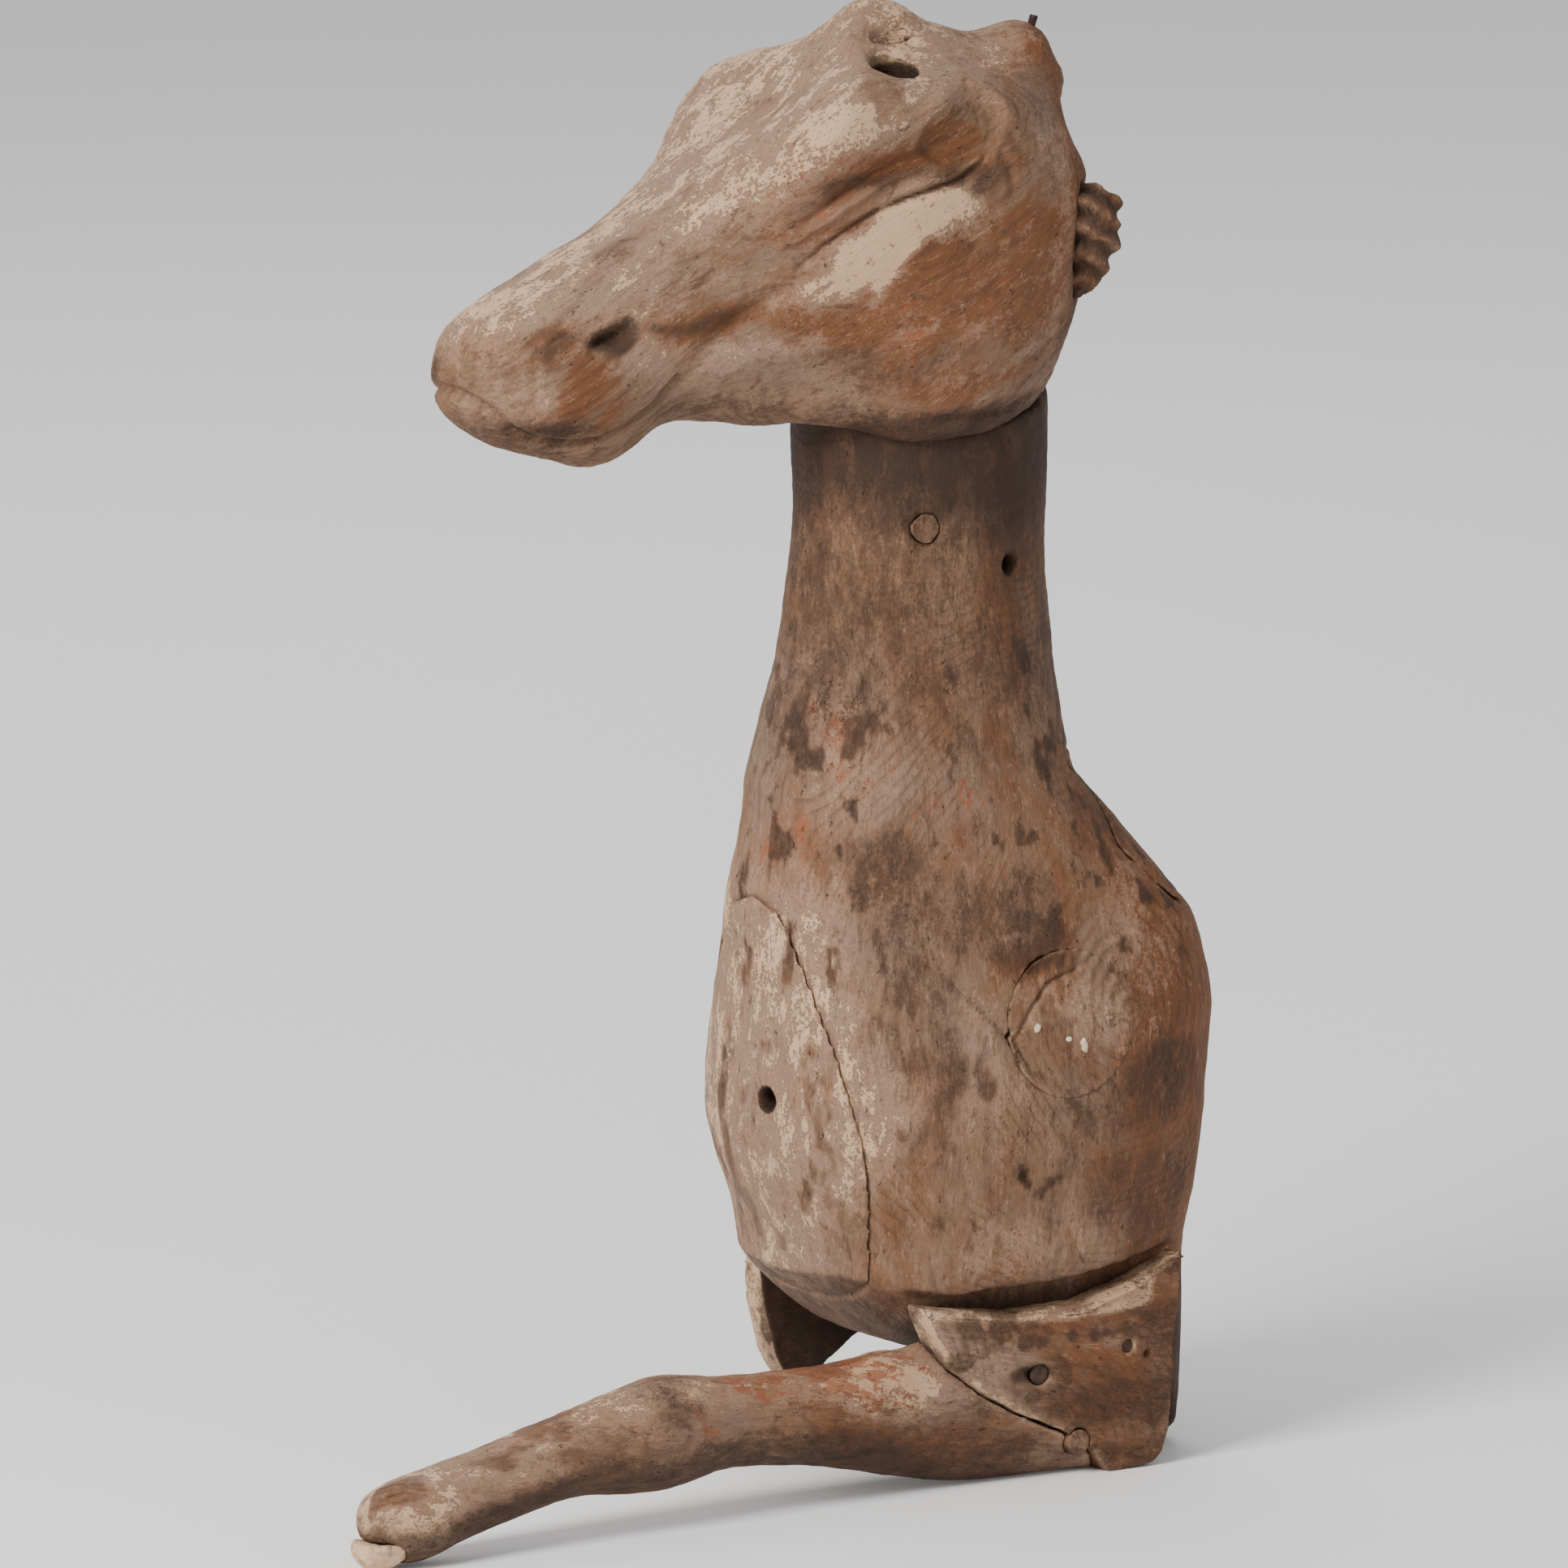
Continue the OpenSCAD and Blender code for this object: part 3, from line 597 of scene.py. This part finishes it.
def paint_drip(name, x, z, radii, seed):
    """Dried drip of cream paint, lying on the near shoulder."""
    body = bpy.data.objects["carved_near_shoulder_insert"]
    start = place(x, -200, z)
    hit, spot, normal, _ = body.ray_cast(start, Vector((0, 1, 0)))
    if not hit:
        raise ValueError("no wood under " + name)
    up = Vector((0, 0, 1)) - normal * normal.z
    up.normalize()
    across = up.cross(normal)
    verts = [spot + normal * 0.9 * MM]
    faces = []
    count = 28
    for ring, lift in ((0.55, 0.75), (0.9, 0.35), (1.0, -0.8)):
        for k in range(count):
            angle = 2 * math.pi * k / count
            wave = 1 + 0.16 * math.sin(2 * angle + seed) + 0.09 * math.sin(5 * angle + 2 * seed)
            verts.append(spot + across * (radii[0] * ring * wave * math.cos(angle) * MM)
                         + up * (radii[1] * ring * wave * math.sin(angle) * MM) + normal * lift * MM)
    for k in range(count):
        after = (k + 1) % count
        faces.append((0, 1 + k, 1 + after))
        for ring in (0, 1):
            base = 1 + ring * count
            faces.append((base + k, base + count + k, base + count + after, base + after))
    faces.append(tuple(1 + 2 * count + k for k in range(count))[::-1])
    mesh = bpy.data.meshes.new(name)
    mesh.from_pydata(verts, [], faces)
    mesh.update()
    mesh.polygons.foreach_set("use_smooth", np.ones(len(mesh.polygons), bool))
    drip = bpy.data.objects.new(name, mesh)
    bpy.context.scene.collection.objects.link(drip)
    return drip


# Front outline of an upper arm, X and Z, where the foreleg meets it.
ARM_FRONT = [(-50, 93), (-42, 72), (-16, 47), (31, 23), (57, 0)]
LEG_HEART = (-60, 20)
LEG_RING = 4.2
ARM_RING = 5.6


def carve_foreleg():
    piece = sculpt_copy("near_foreleg", 1.15)
    mesh = piece.data
    joint, _ = line_distance(points_of(mesh)[:, [0, 2]], ARM_FRONT)
    p = soften(mesh, 12, 0.15 + 0.85 * smoothstep(joint, 3, 12))
    normal = normals_of(mesh)
    rise = hand_carved(p, 71) * 0.8 * smoothstep(p[:, 2], 0, 6)
    rise += rings(p[:, [1, 2]], LEG_HEART, LEG_RING, fractal(p, 70, 3, 73) * 9) * 0.12
    rise += blob(p, (-205, -90, 60), (22, 14, 14), 2.4)
    rise += blob(p, (-170, -88, 36), (26, 12, 12), -1.6)
    free = smoothstep(-p[:, 0], -60, -30)
    p += normal * (rise * free)[:, None]
    p[:, 2] = np.maximum(p[:, 2], 0)
    move_points(mesh, p)
    w = warped(p, 501, 22)
    blot = smoothstep(fractal(p * (0.45, 1, 1), 15, 4, 521), 0.08, 0.36)
    masks = {
        "pale": np.maximum.reduce([
            0.80 * patch(w, (-70, -80, 62), (66, 34, 18)),
            # Painted highlight on faces that look up.
            0.55 * smoothstep(normal[:, 2], 0.0, 0.7),
            0.78 * smoothstep(-w[:, 0], 290, 350),
            # Painted highlight along the joint with the upper arm, over the seam's shade.
            0.70 * np.exp(-(line_distance(p[:, [0, 2]], ARM_FRONT)[0] / 5) ** 2),
            0.40 * patch(w, (-270, -90, 45), (60, 30, 26)),
        ]) * (1 - 0.7 * blot),
        "dark": np.maximum.reduce([
            0.46 * patch(w, (-200, -82, 70), (26, 26, 14)),
            # Painted shade on faces that look down.
            0.70 * smoothstep(-normal[:, 2], -0.25, 0.35) * smoothstep(-p[:, 0], -40, 0),
            0.40 * patch(w, (-250, -84, 40), (30, 40, 16)),
            0.35 * patch(w, (-372, -84, 18), (10, 40, 20)),
            0.50 * patch(w, (-10, -88, 60), (22, 20, 30)),
            0.36 * blot,
        ]),
        "ochre": np.maximum.reduce([
            1.00 * patch(w, (-104, -78, 67), (68, 30, 15)),
            0.36 * patch(w, (-185, -90, 50), (16, 20, 22)),
        ]),
        "warm": 0.7 * patch(w, (-60, -88, 34), (90, 30, 16)),
    }
    finish_piece(piece, "near_foreleg", worn_wood("leg_wood", "leg", LEG_HEART, LEG_RING), masks)


def carve_upper_arm(node, seed, darkness):
    piece = sculpt_copy(node, 1.1)
    mesh = piece.data
    p = soften(mesh, 3)
    normal = normals_of(mesh)
    outer = smoothstep(np.abs(p[:, 1]), 78, 84)
    rise = fractal(p, 30, 3, seed) * 1.8 + fractal(p, 6, 2, seed + 5) * 0.6
    oval = np.column_stack([p[:, 0], 1.15 * p[:, 2]])
    grain = rings(oval, (124, 170), ARM_RING, fractal(p, 70, 3, seed + 2) * 24)
    rise += grain * 0.26 * outer * smoothstep(np.abs(normal[:, 1]), 0.7, 0.95)
    rise -= outer * 2.0 * smoothstep(np.abs(p[:, 0] - 25), 60, 84)
    # The top edge is worn to a bevel.
    top = p[:, 2] - 84 - 0.0011 * (p[:, 0] - 45) ** 2
    bevel = outer * smoothstep(top, -12, 2) * smoothstep(94 - p[:, 0], 0, 20)
    rise -= 4.2 * bevel
    rise += blob(p, (9, -85, 54), (9, 8, 3.4), -2.4)
    rise += blob(p, (80, -85, 57), (1.6, 8, 1.6), -5)
    p += normal * rise[:, None]
    p[:, 2] = np.maximum(p[:, 2], 0)
    move_points(mesh, p)
    w = warped(p, seed + 20, 14, 30)
    inward = smoothstep(-normal[:, 1] * np.sign(p[:, 1]), 0.5, 0.8)
    masks = {
        "pale": np.maximum.reduce([
            # Painted highlight on faces that look up.
            0.70 * smoothstep(normal[:, 2], 0.4, 0.7),
            # Painted highlight on the front faces, which turn toward the key light.
            0.72 * smoothstep(-normal[:, 0], 0.3, 0.6) * smoothstep(p[:, 2], 22, 34),
            # Painted highlight on the top bevel.
            0.85 * smoothstep(bevel, 0.25, 0.6),
            # Painted highlight along the front edge.
            0.70 * np.exp(-(line_distance(p[:, [0, 2]], ARM_FRONT)[0] / 5) ** 2) * outer,
            0.40 * patch(w, (-20, -85, 64), (34, 20, 16)),
        ]) * (1 - inward),
        "dark": np.maximum.reduce([
            # Inner face darkened by darkness: painted shade together with stain.
            darkness * inward * 1.3,
            0.50 * patch(w, (60, -85, 36), (70, 20, 20)),
            0.55 * smoothstep(22 - w[:, 2], 0, 20) * outer,
            # Painted shade in the hollow beside the peg.
            1.10 * patch(p, (13, -85, 54), (13, 12, 5)),
            0.60 * patch(w, (84, -85, 62), (26, 20, 30)),
            0.55 * smoothstep(fractal(p, 14, 4, seed + 30), 0.08, 0.36),
        ]),
        "ochre": 0.20 * patch(w, (80, -85, 60), (40, 20, 50)),
        "warm": 0.50 * smoothstep(w[:, 0], -20, 60),
    }
    finish_piece(piece, node, worn_wood(node + "_wood", "arm", (124, 150), ARM_RING), masks)


def carve_small(node, voxel_mm, seed, material, roughness=0.6, stain=0.0):
    """Pegs, stubs and other small pieces, worn all over. Only worn_wood shows the stain."""
    piece = sculpt_copy(node, voxel_mm)
    mesh = piece.data
    p = soften(mesh, 2)
    normal = normals_of(mesh)
    rise = (fractal(p, 7, 3, seed) * 0.9 - 0.1) * roughness
    p += normal * rise[:, None]
    p[:, 2] = np.maximum(p[:, 2], 0)
    move_points(mesh, p)
    finish_piece(piece, node, material, {"dark": np.full(len(p), stain)})


def carve_ear_stub(node, seed):
    """Broken stub of an ear: layers of torn wood round a dark hollow."""
    piece = sculpt_copy(node, 0.85)
    mesh = piece.data
    p = soften(mesh, 4)
    normal = normals_of(mesh)
    q = np.column_stack([p[:, 0], np.abs(p[:, 1]), p[:, 2]])
    layers = np.sin((p[:, 2] + 0.55 * p[:, 0]) * 2 * np.pi / 15 + 6 * fractal(p, 30, 3, seed))
    rise = 1.3 * layers + 7 * fractal(p, 19, 4, seed + 3)
    rise += -0.00040 * (np.abs(p[:, 2] - 612) ** 3) * smoothstep(p[:, 0], 60, 90)
    rise += blob(q, (92, 50, 618), (11, 12, 7), -9)
    rise += fractal(p, 5, 3, seed + 4) * 1.6
    p += normal * rise[:, None]
    move_points(mesh, p)
    masks = {
        # Painted shade in the ear's cavity and between the torn layers, over the stub's dark wood.
        "dark": np.maximum.reduce([1.2 * patch(q, (92, 50, 617), (16, 18, 10)), 0.72 - 0.25 * layers]),
        "warm": np.full(len(p), 0.55),
    }
    finish_piece(piece, node, worn_wood(node + "_wood", "log", (30, 30), 9.0), masks)


# ---------------------------------------------------------------- materials

class Nodes:
    """Short calls for building a material's node tree."""

    def __init__(self, name):
        self.material = bpy.data.materials.new(name)
        self.material.use_nodes = True
        self.tree = self.material.node_tree
        self.shader = self.tree.nodes["Principled BSDF"]

    def add(self, kind, **settings):
        node = self.tree.nodes.new(kind)
        for key, value in settings.items():
            setattr(node, key, value)
        return node

    def feed(self, socket, value):
        if isinstance(value, bpy.types.NodeSocket):
            self.tree.links.new(value, socket)
        else:
            socket.default_value = value

    def math(self, operation, a, b=0.0, c=0.0):
        node = self.add("ShaderNodeMath", operation=operation)
        for socket, value in zip(node.inputs, (a, b, c)):
            self.feed(socket, value)
        return node.outputs[0]

    def step(self, value, low, high):
        node = self.add("ShaderNodeMapRange", interpolation_type="SMOOTHSTEP")
        self.feed(node.inputs["Value"], value)
        node.inputs["From Min"].default_value = low
        node.inputs["From Max"].default_value = high
        return node.outputs["Result"]

    def noise(self, vector, scale, detail=5.0, roughness=0.6, distortion=0.0):
        node = self.add("ShaderNodeTexNoise")
        self.feed(node.inputs["Vector"], vector)
        node.inputs["Scale"].default_value = scale
        node.inputs["Detail"].default_value = detail
        node.inputs["Roughness"].default_value = roughness
        node.inputs["Distortion"].default_value = distortion
        return node.outputs["Fac"]

    def stretch(self, vector, scale):
        node = self.add("ShaderNodeMapping")
        self.feed(node.inputs["Vector"], vector)
        node.inputs["Scale"].default_value = scale
        return node.outputs["Vector"]

    def mix(self, factor, a, b):
        node = self.add("ShaderNodeMix", data_type="RGBA")
        self.feed(node.inputs[0], factor)
        self.feed(node.inputs[6], a)
        self.feed(node.inputs[7], b)
        return node.outputs[2]

    def attribute(self, name):
        return self.add("ShaderNodeAttribute", attribute_name=name).outputs["Fac"]

    def bump(self, height, strength, distance):
        node = self.add("ShaderNodeBump")
        self.feed(node.inputs["Height"], height)
        node.inputs["Strength"].default_value = strength
        node.inputs["Distance"].default_value = distance
        self.tree.links.new(node.outputs["Normal"], self.shader.inputs["Normal"])


TAN = (0.205, 0.112, 0.062, 1)
WARM = (0.165, 0.057, 0.017, 1)
GREY_TAN = (0.225, 0.143, 0.095, 1)
CREAM = (0.690, 0.455, 0.275, 1)
PINK_CREAM = (0.480, 0.295, 0.200, 1)
STAIN_AND_SHADE = (0.024, 0.0115, 0.006, 1)
BROWN = (0.066, 0.030, 0.015, 1)
OCHRE = (0.265, 0.080, 0.032, 1)
BARE = (0.400, 0.265, 0.160, 1)
IRON = (0.020, 0.016, 0.014, 1)
RUST = (0.110, 0.045, 0.022, 1)

# Each grain gives the turn about Y, the stretch of the streaks and the two axes across the log.
GRAINS = {
    "nose": (NOSE_ANGLE, (26, 260, 260), "YZ"),
    "log": (0, (240, 240, 26), "XY"),
    "shoulder": (0, (200, 200, 40), "XZ"),
    "arm": (-14, (30, 240, 240), "XZ"),
    "leg": (-8, (26, 260, 260), "YZ"),
}


def worn_wood(name, grain, heart, spacing):
    """Old carved wood: grain and rings under worn whitewash, ochre flakes, stains and wear, with painted
    shade in hollows and painted highlights on edges and lit faces.
    """
    n = Nodes(name)
    turn, streak_scale, across = GRAINS[grain]
    plain = n.add("ShaderNodeTexCoord").outputs["Object"]
    turned = n.add("ShaderNodeMapping")
    n.feed(turned.inputs["Vector"], plain)
    turned.inputs["Rotation"].default_value = (0, math.radians(turn), 0)
    at = turned.outputs["Vector"]
    flake_stretch = [1.0 if s > 100 else 0.45 for s in streak_scale]
    flaky = n.stretch(at, flake_stretch)
    streaks = n.noise(n.stretch(at, streak_scale), 1.0, 6, 0.65, 0.4)
    fibres = n.noise(n.stretch(at, [s * 4 for s in streak_scale]), 1.0, 4, 0.7, 0.2)
    blotch = n.noise(plain, 10, 5, 0.62, 0.4)
    mottle = n.noise(flaky, 48, 12, 0.80, 0.2)
    fleck = n.noise(flaky, 170, 8, 0.80, 0.1)
    speck = n.noise(plain, 520, 5, 0.75)
    grit = n.noise(plain, 1400, 3, 0.6)
    grain_field = n.math("ADD", n.math("MULTIPLY", fleck, 0.30), n.math("MULTIPLY", speck, 0.25))

    # Growth rings about the heart of the log.
    drift = n.math("MULTIPLY", n.math("SUBTRACT", n.noise(plain, 8, 4, 0.5), 0.5), 0.055)
    apart = n.add("ShaderNodeSeparateXYZ")
    n.feed(apart.inputs[0], at)
    first, second = (apart.outputs["XYZ".index(letter)] for letter in across)
    c, s = math.cos(math.radians(turn)), math.sin(math.radians(turn))
    neck_turned = {"X": c * NECK[0], "Y": NECK[1], "Z": -s * NECK[0]}
    dx = n.math("SUBTRACT", first, neck_turned[across[0]] + heart[0] * MM)
    dy = n.math("SUBTRACT", second, neck_turned[across[1]] + heart[1] * MM)
    radius = n.math("SQRT", n.math("ADD", n.math("MULTIPLY", dx, dx), n.math("MULTIPLY", dy, dy)))
    saw = n.math("FRACT", n.math("MULTIPLY", n.math("ADD", radius, drift), 1 / (spacing * MM)))
    ring = n.math("MULTIPLY", n.step(saw, 0.50, 0.95), n.step(n.noise(plain, 16, 4, 0.6), 0.40, 0.62))

    # Bare wood: three browns, streaked along the grain.
    colour = n.mix(n.step(blotch, 0.36, 0.64), TAN, GREY_TAN)
    warm_cloud = n.noise(flaky, 24, 7, 0.66, 0.5)
    warm_field = n.math("ADD", warm_cloud, n.math("MULTIPLY", n.attribute("warm"), 0.30))
    warm = n.step(warm_field, 0.47, 0.72)
    colour = n.mix(n.math("MULTIPLY", warm, 0.90), colour, WARM)
    colour = n.mix(n.math("MULTIPLY", n.step(streaks, 0.48, 0.72), 0.55), colour, BROWN)
    colour = n.mix(n.math("MULTIPLY", n.step(fibres, 0.50, 0.72), 0.40), colour, BROWN)
    colour = n.mix(n.math("MULTIPLY", ring, 0.45), colour, BROWN)
    scratches = n.noise(n.stretch(at, [s * 2.6 for s in streak_scale]), 1.0, 5, 0.72, 0.8)
    colour = n.mix(n.math("MULTIPLY", n.step(scratches, 0.57, 0.67), 0.42), colour, PINK_CREAM)

    # Whitewash: a thin soaked layer, then flakes with crisp ragged edges; the pale mask also adds painted
    # highlights on lit faces and edges.
    pale_mask = n.attribute("pale")
    paint_field = n.math("ADD", n.math("MULTIPLY", mottle, 0.45), grain_field)
    paint_field = n.math("ADD", paint_field, n.math("MULTIPLY", pale_mask, 0.21))
    colour = n.mix(n.math("MULTIPLY", n.step(paint_field, 0.52, 0.66), 0.66), colour, PINK_CREAM)
    flake = n.step(paint_field, 0.615, 0.650)
    colour = n.mix(n.math("MULTIPLY", flake, 0.62), colour, CREAM)
    colour = n.mix(n.math("MULTIPLY", n.step(speck, 0.60, 0.70), 0.22), colour, CREAM)

    # Ochre left in small flakes.
    ochre_cloud = n.noise(flaky, 110, 10, 0.80, 0.1)
    ochre_field = n.math("ADD", ochre_cloud, n.math("MULTIPLY", n.attribute("ochre"), 0.20))
    ochre = n.step(ochre_field, 0.635, 0.665)
    colour = n.mix(n.math("MULTIPLY", ochre, 0.80), colour, OCHRE)
    colour = n.mix(n.math("MULTIPLY", n.attribute("ochre"), 0.20), colour, OCHRE)

    # Stain and dirt: soft cloud, fine streaks, and deep spots; the dark mask adds painted shade in holes,
    # creases and undersides.
    dark_mask = n.attribute("dark")
    dirt = n.math("ADD", n.math("MULTIPLY", n.noise(flaky, 34, 12, 0.78, 0.4), 0.45), grain_field)
    dark_field = n.math("ADD", dirt, n.math("MULTIPLY", dark_mask, 0.25))
    colour = n.mix(n.math("MULTIPLY", n.step(dark_field, 0.53, 0.66), 0.74), colour, BROWN)
    colour = n.mix(n.math("MULTIPLY", n.step(dark_field, 0.61, 0.76), 0.84), colour, STAIN_AND_SHADE)
    spot_field = n.math("ADD", n.noise(flaky, 75, 8, 0.72, 0.6), n.math("MULTIPLY", dark_mask, 0.10))
    spot = n.step(spot_field, 0.60, 0.68)
    colour = n.mix(n.math("MULTIPLY", spot, 0.62), colour, BROWN)
    pits = n.step(n.noise(flaky, 330, 5, 0.72), 0.63, 0.71)
    colour = n.mix(n.math("MULTIPLY", pits, 0.72), colour, STAIN_AND_SHADE)
    # Painted highlight on convex edges.
    colour = n.mix(n.math("MULTIPLY", n.attribute("edge"), 0.32), colour, CREAM)
    # Painted shade in hollows and creases.
    colour = n.mix(n.math("MULTIPLY", n.attribute("hollow"), 0.85), colour, STAIN_AND_SHADE)
    n.feed(n.shader.inputs["Base Color"], colour)
    n.feed(n.shader.inputs["Roughness"], n.math("SUBTRACT", 0.84, n.math("MULTIPLY", mottle, 0.24)))
    n.shader.inputs["Specular IOR Level"].default_value = 0.30

    height = n.math("ADD", n.math("MULTIPLY", streaks, 0.6), n.math("MULTIPLY", fibres, 0.35))
    height = n.math("ADD", height, n.math("MULTIPLY", fleck, 0.6))
    height = n.math("ADD", height, n.math("MULTIPLY", grit, 0.15))
    height = n.math("ADD", height, n.math("MULTIPLY", flake, 0.30))
    height = n.math("SUBTRACT", height, n.math("MULTIPLY", ring, 0.22))
    height = n.math("SUBTRACT", height, n.math("MULTIPLY", pits, 0.55))
    n.bump(height, 0.95, 0.0014)
    return n.material


def plain_wood(name, light, dark):
    """Unpainted peg or dowel wood with fine grain."""
    n = Nodes(name)
    at = n.add("ShaderNodeTexCoord").outputs["Object"]
    grain = n.noise(n.stretch(at, (260, 60, 260)), 1.0, 6, 0.65, 0.5)
    cloud = n.noise(at, 120, 5, 0.6)
    colour = n.mix(n.step(grain, 0.35, 0.68), light, dark)
    colour = n.mix(n.math("MULTIPLY", n.step(cloud, 0.50, 0.70), 0.6), colour, BROWN)
    n.feed(n.shader.inputs["Base Color"], colour)
    n.feed(n.shader.inputs["Roughness"], n.math("ADD", 0.62, n.math("MULTIPLY", cloud, 0.25)))
    n.bump(n.math("ADD", grain, n.math("MULTIPLY", cloud, 0.6)), 0.6, 0.0006)
    return n.material


def old_iron():
    n = Nodes("old_iron")
    at = n.add("ShaderNodeTexCoord").outputs["Object"]
    rust = n.noise(at, 500, 6, 0.7)
    n.feed(n.shader.inputs["Base Color"], n.mix(n.step(rust, 0.45, 0.62), IRON, RUST))
    n.feed(n.shader.inputs["Roughness"], n.math("ADD", 0.55, n.math("MULTIPLY", rust, 0.35)))
    n.shader.inputs["Metallic"].default_value = 0.6
    n.bump(rust, 0.7, 0.0006)
    return n.material


def floor_material():
    n = Nodes("floor")
    at = n.add("ShaderNodeTexCoord").outputs["Object"]
    cloud = n.noise(at, 2.5, 3, 0.5)
    n.feed(n.shader.inputs["Base Color"], n.mix(cloud, (0.90, 0.90, 0.90, 1), (0.93, 0.93, 0.93, 1)))
    n.shader.inputs["Roughness"].default_value = 0.9
    return n.material


FLOOR_REACH = 30.0


def make_floor():
    mesh = bpy.data.meshes.new("floor")
    corners = [(x * FLOOR_REACH, y * FLOOR_REACH, 0) for x, y in ((-1, -1), (1, -1), (1, 1), (-1, 1))]
    mesh.from_pydata(corners, [], [(0, 1, 2, 3)])
    mesh.materials.append(floor_material())
    floor = bpy.data.objects.new("floor", mesh)
    bpy.context.scene.collection.objects.link(floor)


# ---------------------------------------------------------------- the statue

# Paint drips on the near shoulder insert: X, Z and the two radii of each.
DRIPS = [(13, 228, (2.0, 2.2)), (30, 221, (1.5, 1.6)), (39, 217, (2.2, 3.6))]


def build():
    body_wood = worn_wood("body_wood", "shoulder", SHOULDER_HEART, 5.2)
    carve_head()
    carve_body_piece("neck_and_torso", 2.16, 9, body_wood)
    carve_body_piece("chest_block", 1.4, 11, body_wood)
    carve_body_piece("withers_cap", 1.5, 6, body_wood)
    carve_body_piece("near_shoulder_insert", 1.1, 5, body_wood)
    carve_body_piece("far_shoulder_insert", 1.1, 5, body_wood)
    carve_foreleg()
    carve_upper_arm("near_upper_arm", 91, 0.0)
    carve_upper_arm("far_upper_arm", 97, 1.0)
    carve_ear_stub("near_ear_stub", 101)
    carve_ear_stub("far_ear_stub", 103)
    pale_peg = plain_wood("pale_peg", BARE, TAN)
    dark_peg = plain_wood("dark_peg", BROWN, STAIN_AND_SHADE)
    mid_peg = plain_wood("mid_peg", TAN, BROWN)
    old_peg = plain_wood("old_peg", RUST, BROWN)
    carve_small("hoof_stub", 0.7, 111, plain_wood("hoof_wood", CREAM, PINK_CREAM), 2.0)
    carve_small("neck_peg", 0.7, 113, body_wood, 1.8, 0.5)
    carve_small("chest_peg", 0.6, 127, old_peg, 0.8)
    carve_small("near_arm_peg", 0.6, 131, dark_peg, 0.8)
    carve_small("near_arm_pin", 0.6, 137, dark_peg, 0.6)
    carve_small("near_elbow_dowel", 0.6, 139, mid_peg, 0.8)
    carve_small("poll_nail", 0.4, 149, old_iron(), 0.4)
    for node in ("head_tenon", "chest_dowels", "withers_dowel", "insert_dowels", "far_arm_pegs"):
        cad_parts[node].data.materials.clear()
        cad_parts[node].data.materials.append(pale_peg)
    paint = plain_wood("paint_drip", (0.70, 0.60, 0.47, 1), CREAM)
    bpy.context.view_layer.update()
    for index, (x, z, radii) in enumerate(DRIPS):
        drip = paint_drip("paint_drip_%d" % (index + 1), x, z, radii, 1.7 * index)
        drip.data.materials.append(paint)
        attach(drip, "root")


make_camera()
make_light()
make_floor()
build()
